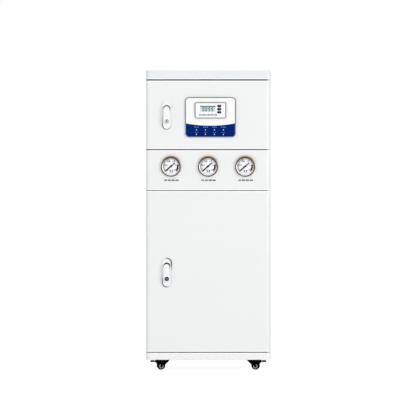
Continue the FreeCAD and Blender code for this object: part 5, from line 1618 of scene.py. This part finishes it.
@dataclass
class Caster:
    """A swivel caster. The front two have a brake pedal."""

    row: Row
    side: Side
    axle_height: float = 13.8
    cheek_reach: float = 8.0
    cover_place: Pair = (1.2, -2.8)
    cover_radius: float = 9.0
    cover_levels: Pair = (-1.9, 0.4)
    # The pale hub arc, open on one side, is a painted highlight.
    ring: Section = ((4.6, 0.3), (6.8, 0.3), (6.8, 0.6), (6.3, 1.0), (5.0, 1.0), (4.6, 0.7))
    arc: Pair = (70.0, 340.0)
    washer: Triple = (2.4, 0.3, 0.5)
    rivet: Triple = (1.7, 0.8, 0.5)
    pad: Pair = (13.0, 2.6)
    pad_half: float = 9.8
    pad_foot: float = -1.6
    pad_rounds: Pair = (1.6, 0.8)
    tread_count: int = 3
    tread_start: float = 3.0
    tread_pitch: float = 3.4
    tread: Triple = (0.6, 8.5, 0.35)

    def build(self) -> None:
        """Dress the caster and add hub rings as painted highlight, axle rivets and pedal ribs."""
        name = f"{self.row.value}_{self.side.name.lower()}"
        dress(CASTER, f"{name}_fork")
        dress(WHEEL, f"{name}_wheel")
        x, y, _ = middle_of(f"{name}_wheel")
        inward, rise = self.cover_place
        foot, front = self.cover_levels
        washer, washer_foot, washer_height = self.washer
        head, head_foot, head_height = self.rivet
        for end, facing, sign in (("front", Facing.FRONT, -1), ("rear", Facing.BACK, 1)):
            cheek = (x, y + sign * self.cheek_reach, self.axle_height)
            hand = self.side.value * sign
            start, stop = self.arc if hand > 0 else (360.0 - angle for angle in reversed(self.arc))
            cover = Form().disc(hand * inward, rise, foot, self.cover_radius, front - foot,
                                sides=36, bevel=0.3)
            cover.make(f"{name}_hub_cover_{end}", CASTER, cheek, facing, body=f"{name}_caster")
            ring = Form().turned(self.ring, hand * inward, rise, start, stop, steps=40)
            ring.make(f"{name}_hub_ring_{end}", HUB_HIGHLIGHT, cheek, facing, body=f"{name}_caster")
            rivet = Form().disc(0.0, 0.0, washer_foot, washer, washer_height, sides=24)
            rivet.dome(0.0, 0.0, head_foot, head, head_height)
            rivet.make(f"{name}_axle_rivet_{end}", CASTER, cheek, facing, body=f"{name}_caster")
        if self.row is Row.FRONT:
            self.pedal(name)

    def pedal(self, name: str) -> None:
        """Dress the brake pedal and add the ribs on its tread.

        Args:
            name: the caster's place, such as front_left.
        """
        dress(PEDAL, f"{name}_pedal")
        low, high = bounds_of(f"{name}_pedal")
        outer = low.x if self.side is Side.LEFT else high.x
        length, top = self.pad
        inner = outer - self.side.value * length
        corner, edge = self.pad_rounds
        form = Form().plate((min(inner, outer), -self.pad_half, self.pad_foot),
                            (max(inner, outer), self.pad_half, top), corner, edge, segments=4)
        half, reach, rise = self.tread
        for i in range(self.tread_count):
            u = outer - self.side.value * (self.tread_start + self.tread_pitch * i)
            form.block((u - half, -reach, 0.0), (u + half, reach, top + rise), bevel=0.2)
        form.make(f"{name}_pedal_pad", PEDAL, (0, (low.y + high.y) / 2, high.z), Facing.UP,
                  body=f"{name}_brake")


# filter train -------------------------------------------------------------------------------

@dataclass
class FilterTrain:
    """The three filters under their bracket, and the booster pump below them."""

    places: tuple[float, ...] = (-122.0, 0.0, 122.0)
    depth: float = -125.0
    ribs: int = 20
    rib: Box = ((-1.8, 51.5, -22.0), (1.8, 53.6, -2.0))
    wall_ring: Pair = (47.4, 48.6)
    ring_levels: Pair = (-60.0, -66.0)
    ring_height: float = 1.4
    head_top: float = 546.0
    bracket_top: float = 554.0
    button_place: Pair = (30.0, -16.0)
    button_radii: Pair = (5.0, 4.4)
    button_height: float = 3.4
    bolt_radius: float = 18.0
    bolt_angles: tuple[float, ...] = (45.0, 135.0, 225.0, 315.0)
    bolt_head: Pair = (4.0, 2.6)
    link_height: float = 521.0
    link_reach: float = 61.0
    collar: Section = ((10.8, -9.0), (13.6, -9.0), (14.2, -8.0), (14.2, 8.0), (13.6, 9.0),
                       (10.8, 9.0))
    motor_drop: float = 45.0
    fins: int = 26
    fin: Box = ((-0.8, 44.4, 14.0), (0.8, 48.4, 96.0))
    bare_top: float = 26.0
    bare_foot: Pair = (140.0, 220.0)
    end_cover: Section = ((0.5, 0.0), (44.0, 0.0), (43.0, 4.0), (36.0, 6.5), (12.0, 7.5),
                          (0.5, 7.5))
    vent_count: int = 12
    vent: Box = ((-1.4, 16.0, 6.4), (1.4, 33.0, 7.62))
    box_ends: Pair = (62.0, 104.0)
    box_half: float = 17.0
    box_levels: Pair = (-3.0, 18.0)
    box_rounds: Pair = (4.0, 1.5)
    pump_y: float = -110.0
    pump_drop: float = 50.0
    cover_bolts: float = 28.0
    cover_bolt_head: Pair = (4.0, 2.8)
    pump_rib: Section = ((35.4, 0.0), (38.0, 0.6), (38.0, 5.4), (35.4, 6.0))
    pump_rib_feet: Pair = (8.0, 36.0)

    def build(self) -> None:
        """Dress the filters and the pump, and add their ribs, buttons, bolts and fins."""
        dress(BRACKET, "filter_bracket")
        dress(HEAD, "filter_heads")
        dress(BOWL, "filter_bowls")
        dress(MOTOR, "pump_motor")
        dress(PUMP, "pump_head")
        self.bowls()
        self.heads()
        self.motor()
        self.pump_head()

    def bowls(self) -> None:
        """Make the grip ribs round the top of each bowl, and the rings on its wall."""
        top = bounds_of("filter_bowls")[1].z
        form = Form()
        for x in self.places:
            rib = Form().block(*self.rib, bevel=0.5)
            form.stamp(rib, ring_of(self.ribs, x, self.depth))
            for level in self.ring_levels:
                ring = band(*self.wall_ring, level, level + self.ring_height)
                form.turned(ring, x, self.depth)
        form.make("bowl_grips", BOWL, (0, 0, top), Facing.UP)

    def heads(self) -> None:
        """Make the vent buttons, the cap screws and the port collars of the heads."""
        buttons, bolts = Form(), Form()
        across, up = self.button_place
        foot, top = self.button_radii
        for x in self.places:
            buttons.disc(x + across, self.depth + up, 0.0, foot, self.button_height, sides=24,
                         tip=top, bevel=0.5)
            for u, v in around(self.bolt_radius, self.bolt_angles):
                bolts.disc(x + u, self.depth + v, 0.0, *self.bolt_head, sides=6, bevel=0.3)
        buttons.make("vent_buttons", BUTTON, (0, 0, self.head_top), Facing.UP)
        bolts.make("bracket_bolts", ZINC, (0, 0, self.bracket_top), Facing.UP)
        for side, x in (("left", -self.link_reach), ("right", self.link_reach)):
            collar = Form().turned(self.collar, steps=36)
            collar.make(f"link_collar_{side}", HEAD, (x, self.depth, self.link_height),
                        Facing.RIGHT)

    def motor(self) -> None:
        """Make the motor's fins, end cover, vent slots and terminal box."""
        low, high = bounds_of("pump_motor")
        y, z = (low.y + high.y) / 2, high.z - self.motor_drop
        fin = Form().block(*self.fin, bevel=0.35)
        angles = [360.0 * i / self.fins for i in range(self.fins)]
        first, last = self.bare_foot
        kept = [angle for angle in angles if self.bare_top < angle < 360.0 - self.bare_top
                and not first < angle < last]
        fins = Form().stamp(fin, [spin_to(angle) for angle in kept])
        fins.make("motor_fins", MOTOR, (low.x, y, z), Facing.RIGHT)
        cover = Form().turned(self.end_cover)
        cover.make("motor_end_cover", MOTOR, (high.x, y, z), Facing.RIGHT)
        slots = Form().stamp(Form().block(*self.vent), ring_of(self.vent_count))
        slots.make("motor_vent_slots", VENT, (high.x, y, z), Facing.RIGHT)
        start, end = self.box_ends
        foot, lid = self.box_levels
        box = Form().plate((start, y - self.box_half, foot), (end, y + self.box_half, lid),
                           *self.box_rounds)
        box.make("motor_terminal_box", MOTOR, (0, 0, high.z), Facing.UP)

    def pump_head(self) -> None:
        """Make the bolts on the pump head's cover, and its ribs."""
        low, high = bounds_of("pump_head")
        y, z = self.pump_y, high.z - self.pump_drop
        bolts, ring = Form(), Form()
        for u, v in around(self.cover_bolts, range(30, 360, 60)):
            bolts.disc(u, v, 0.0, *self.cover_bolt_head, sides=6, bevel=0.3)
        bolts.make("pump_cover_bolts", ZINC, (low.x, y, z), Facing.LEFT)
        for foot in self.pump_rib_feet:
            ring.turned(raised(self.pump_rib, foot))
        ring.make("pump_head_ribs", PUMP, (high.x, y, z), Facing.LEFT)


# vessels and supply -------------------------------------------------------------------------

@dataclass
class Vessels:
    """The pressure tank, the membrane housings and the polishing columns at the back."""

    tank: Pair = (-82.0, 107.0)
    membranes: tuple[Pair, ...] = ((150.0, 170.0), (150.0, 78.0))
    columns: tuple[Pair, ...] = ((68.0, 169.0), (68.0, 91.0))
    tray_top: float = 55.6
    weld: Section = ((107.4, 168.0), (109.2, 168.6), (109.2, 175.4), (107.4, 176.0))
    valve_level: float = 402.6
    handle_half: float = 4.0
    handle_ends: Pair = (-34.0, -8.0)
    handle_thickness: float = 3.2
    handle_rounds: Pair = (3.6, 0.8)
    valve_collar: Section = ((8.8, -2.0), (12.0, -2.0), (12.0, 7.0), (8.8, 7.0))
    clip: Pair = (39.6, 41.8)
    clip_levels: Pair = (120.0, 290.0)
    clip_height: float = 14.0
    clip_arc: Pair = (-60.0, 240.0)
    grip_count: int = 15
    grip: Box = ((-1.6, 43.4, -30.0), (1.6, 45.2, -6.0))
    sleeve: Section = ((34.6, 0.0), (35.8, 0.0), (36.2, 1.0), (36.2, 17.0), (35.8, 18.0),
                       (34.6, 18.0))
    sleeve_inset: float = 1.0
    lid: Section = ((4.0, -0.3), (33.0, -0.3), (32.0, 1.4), (4.0, 1.8))

    def build(self) -> None:
        """Dress the vessels and add their bands, clips, caps and valve."""
        dress(TANK, "pressure_tank")
        dress(MEMBRANE, "membrane_housings")
        dress(COLUMN, "polishing_columns")
        dress(TUBE, "water_tubes")
        self.tank_parts()
        self.clips()
        self.caps()

    def tank_parts(self) -> None:
        """Make the tank's weld band and the handle of its valve."""
        x, y = self.tank
        ring = Form().turned(self.weld, x, y, steps=72)
        ring.make("tank_weld_band", TANK, (0, 0, self.tray_top), Facing.UP)
        half, (start, end) = self.handle_half, self.handle_ends
        handle = Form().plate((x - half, y + start, 0.0),
                              (x + half, y + end, self.handle_thickness), *self.handle_rounds)
        handle.turned(self.valve_collar, x, y)
        handle.make("tank_valve_handle", COLLET, (0, 0, self.valve_level), Facing.UP)

    def clips(self) -> None:
        """Make the clips that hold the membrane housings."""
        form = Form()
        start, end = self.clip_arc
        for x, y in self.membranes:
            for level in self.clip_levels:
                clip = band(*self.clip, level, level + self.clip_height)
                form.turned(clip, x, y, start, end)
        form.make("membrane_clips", CLAMP, (0, 0, self.tray_top), Facing.UP)

    def caps(self) -> None:
        """Make the grips on the caps of the housings and the columns."""
        top = bounds_of("membrane_housings")[1].z
        grips = Form()
        for x, y in self.membranes:
            grip = Form().block(*self.grip, bevel=0.4)
            grips.stamp(grip, ring_of(self.grip_count, x, y))
        grips.make("membrane_cap_grips", MEMBRANE, (0, 0, top), Facing.UP)
        foot, head = (corner.z for corner in bounds_of("polishing_columns"))
        below = head - self.sleeve_inset - self.sleeve[-1][1]
        rings = ((self.sleeve, foot + self.sleeve_inset), (self.sleeve, below), (self.lid, head))
        sleeves = Form()
        for x, y in self.columns:
            for section, level in rings:
                sleeves.turned(raised(section, level), x, y)
        sleeves.make("column_cap_sleeves", COLUMN_CAP, (0, 0, 0), Facing.UP)


@dataclass
class Supply:
    """The power supply on the shelf."""

    pitch: float = 11.0
    slots: int = 9
    slot_start: float = 36.0
    slot_width: float = 3.0
    slot_margin: float = 22.0
    slot_corner: float = 1.4
    slot_depth: float = 0.08
    terminals: int = 7
    block_start: float = 20.0
    block_levels: Pair = (6.0, 20.0)
    block_depth: float = 9.0
    screw: Pair = (3.2, 0.8)
    wall: Triple = (0.6, 8.0, 12.0)

    def build(self) -> None:
        """Dress the supply and add its vents and terminals."""
        dress(SUPPLY, "power_supply")
        low, high = bounds_of("power_supply")
        vents = Form()
        for i in range(self.slots):
            u = low.x + self.slot_start + self.pitch * i
            vents.plate((u, low.y + self.slot_margin, 0.0),
                        (u + self.slot_width, high.y - self.slot_margin, self.slot_depth),
                        self.slot_corner, segments=4)
        vents.make("supply_vents", VENT, (0, 0, high.z), Facing.UP)
        block, screws = Form(), Form()
        start = low.x + self.block_start
        foot, top = (low.z + level for level in self.block_levels)
        end = start + self.pitch * self.terminals
        block.block((start, foot, 0.0), (end, top, self.block_depth), bevel=0.8)
        half, back, front = self.wall
        for i in range(self.terminals):
            end = start + self.pitch * (i + 1)
            screws.disc(end - self.pitch / 2, (foot + top) / 2, self.block_depth, *self.screw,
                        sides=18, bevel=0.2)
            block.block((end - half, foot, back), (end + half, top, front), bevel=0.2)
        block.make("supply_terminals", TERMINAL, (0, low.y, 0))
        screws.make("supply_screws", STEEL, (0, low.y, 0))


# back services ------------------------------------------------------------------------------

@dataclass
class BackServices:
    """The water ports and the mains inlet with its switch."""

    ports: tuple[float, ...] = (-122.0, -82.0, -42.0, -2.0)
    port_height: float = 521.0
    collet: Section = ((4.9, -1.0), (7.0, -1.0), (7.0, 1.2), (7.6, 1.4), (7.6, 2.4), (7.0, 2.8),
                       (5.3, 2.8), (4.9, 2.4))
    grip_count: int = 16
    grip: Box = ((-0.7, 7.7, -8.0), (0.7, 8.5, -1.0))
    inlet: Pair = (-140.0, 760.0)
    pins: tuple[Pair, ...] = ((-7.0, -2.0), (0.0, 2.0), (7.0, -2.0))
    pin_half: Pair = (1.08, 2.08)
    pin_levels: Pair = (0.05, 14.1)
    pin_level: float = 210.5
    rocker_place: Pair = (-98.0, 225.0)
    rocker_tilt: float = 9.0
    mark_depth: float = 0.06
    mark_place: Pair = (4.4, 4.42)
    mark_slope: float = 9.3
    on_mark: Pair = (0.35, 1.7)
    off_mark: Pair = (1.1, 1.75)

    def build(self) -> None:
        """Dress the services and add their collets, pins and marks."""
        dress(PORT, "water_ports")
        dress(INLET, "power_inlet")
        dress(ROCKER, "power_switch")
        back = bounds_of("water_ports")[1].y
        collets, grips = Form(), Form()
        for x in self.ports:
            collets.turned(self.collet, -x, self.port_height)
            rib = Form().block(*self.grip, bevel=0.2)
            grips.stamp(rib, ring_of(self.grip_count, -x, self.port_height))
        collets.make("port_collets", COLLET, (0, back, 0), Facing.BACK)
        grips.make("port_grips", PORT, (0, back, 0), Facing.BACK)
        self.pin_skins()
        self.marks()

    def pin_skins(self) -> None:
        """Make the bright skins of the inlet's three pins."""
        x, z = self.inlet
        across, up = self.pin_half
        foot, tip = self.pin_levels
        form = Form()
        for side, lift in self.pins:
            u, v = -(x + side), z + lift
            form.block((u - across, v - up, foot), (u + across, v + up, tip), bevel=0.3)
        form.make("inlet_pin_skins", STEEL, (0, self.pin_level, 0), Facing.BACK)

    def marks(self) -> None:
        """Print the on and off marks on the rocker's two faces."""
        turn = Matrix.Rotation(math.radians(-self.rocker_tilt), 4, "X")
        form = Form()
        half, up = self.on_mark
        bar = Form().block((-half, -up, 0.0), (half, up, self.mark_depth))
        ring = Form().turned(band(*self.off_mark, 0.0, self.mark_depth), steps=24)
        v, level = self.mark_place
        for mark, sign in ((bar, 1), (ring, -1)):
            slope = Matrix.Rotation(math.radians(-sign * self.mark_slope), 4, "X")
            form.stamp(mark, [turn @ shift(0.0, sign * v, level) @ slope])
        form.make("rocker_marks", ROCKER_MARK, (*self.rocker_place, self.inlet[1]), Facing.BACK,
                  body="rocker")


# studio -------------------------------------------------------------------------------------

@dataclass
class Lamp:
    """A soft studio light: where it hangs, in metres, its size and its power in watts."""

    AIM = (0.0, 0.0, 0.5)

    name: str
    place: Triple
    size: float
    power: float

    def build(self) -> None:
        """Hang the light and aim it at the middle of the cabinet."""
        light = bpy.data.lights.new(self.name, "AREA")
        light.shape, light.size, light.energy = "SQUARE", self.size, self.power
        holder = bpy.data.objects.new(self.name, light)
        holder.location = self.place
        aim = Vector(self.AIM) - Vector(self.place)
        holder.rotation_euler = aim.to_track_quat("-Z", "Y").to_euler()
        bpy.context.scene.collection.objects.link(holder)


@dataclass
class Studio:
    """The floor, the light and the camera."""

    camera_distance: float = 16.0
    view_width: float = 1.3329
    sensor_width: float = 36.0
    aim: Pair = (-0.001, 0.5195)
    floor_size: float = 80.0
    floor_glow: Pair = (0.86, 1.1)
    ambient: float = 0.6
    lamps: tuple[Lamp, ...] = (Lamp("key", (3.2, -4.6, 0.95), 3.0, 118.0),
                               Lamp("fill", (-2.4, -3.4, 0.8), 2.4, 29.0))

    def build(self) -> None:
        """Set up everything round the cabinet."""
        bpy.context.scene.view_settings.view_transform = "Standard"
        self.floor()
        self.sky()
        for lamp in self.lamps:
            lamp.build()
        self.camera()

    def floor(self) -> None:
        """Make the plain pale floor, which the camera sees as white under a soft shadow."""
        bm = bmesh.new()
        bmesh.ops.create_grid(bm, x_segments=1, y_segments=1, size=self.floor_size / 2)
        mesh = bpy.data.meshes.new("floor")
        bm.to_mesh(mesh)
        bm.free()
        material = bpy.data.materials.new("Pale floor")
        material.use_nodes = True
        material.node_tree.nodes.clear()
        graph = Graph(material.node_tree)
        matt = graph.add("ShaderNodeBsdfPrincipled", {"Base Color": (0.9, 0.9, 0.9, 1.0),
                                                      "Roughness": 0.9})
        cover, strength = self.floor_glow
        white = graph.add("ShaderNodeEmission", {"Color": WHITE, "Strength": strength})
        ray = graph.add("ShaderNodeLightPath").outputs["Is Camera Ray"]
        share = graph.figure("MULTIPLY", ray, cover)
        mixed = graph.add("ShaderNodeMixShader",
                          {0: share, 1: matt.outputs[0], 2: white.outputs[0]})
        graph.add("ShaderNodeOutputMaterial", {"Surface": mixed.outputs[0]})
        mesh.materials.append(material)
        floor = bpy.data.objects.new("floor", mesh)
        bpy.context.scene.collection.objects.link(floor)

    def sky(self) -> None:
        """Make the world: white to look at and in gloss, and a softer light on the cabinet."""
        world = bpy.data.worlds.new("studio")
        world.use_nodes = True
        world.node_tree.nodes.clear()
        graph = Graph(world.node_tree)
        ray = graph.add("ShaderNodeLightPath").outputs
        clear = graph.figure("MAXIMUM", ray["Is Glossy Ray"], ray["Is Transmission Ray"])
        seen = graph.figure("MAXIMUM", ray["Is Camera Ray"], clear)
        strength = graph.span(seen, SHARE_RANGE, (self.ambient, 1.0))
        light = graph.add("ShaderNodeBackground", {"Color": WHITE, "Strength": strength})
        graph.add("ShaderNodeOutputWorld", {"Surface": light.outputs[0]})
        bpy.context.scene.world = world

    def camera(self) -> None:
        """Set the camera level before the doors, with a long lens."""
        lens = bpy.data.cameras.new("camera")
        lens.sensor_width = self.sensor_width
        lens.lens = self.sensor_width * self.camera_distance / self.view_width
        lens.clip_end = 120.0
        camera = bpy.data.objects.new("camera", lens)
        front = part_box("lower_door")[0].y
        camera.location = (self.aim[0], front - self.camera_distance, self.aim[1])
        camera.rotation_euler = (math.pi / 2, 0.0, 0.0)
        bpy.context.scene.collection.objects.link(camera)
        bpy.context.scene.camera = camera


def main() -> None:
    """Build the studio and every sub-assembly, in order."""
    logging.basicConfig(level=logging.INFO, format="%(message)s")
    parts = [Studio(), Cabinet(), Doors(), Controller(), GaugeRow(),
             *(Caster(row, side) for row in Row for side in Side),
             FilterTrain(), Vessels(), Supply(), BackServices()]
    for part in parts:
        part.build()
        log.info("built %s", type(part).__name__)


if __name__ == "__main__":
    main()
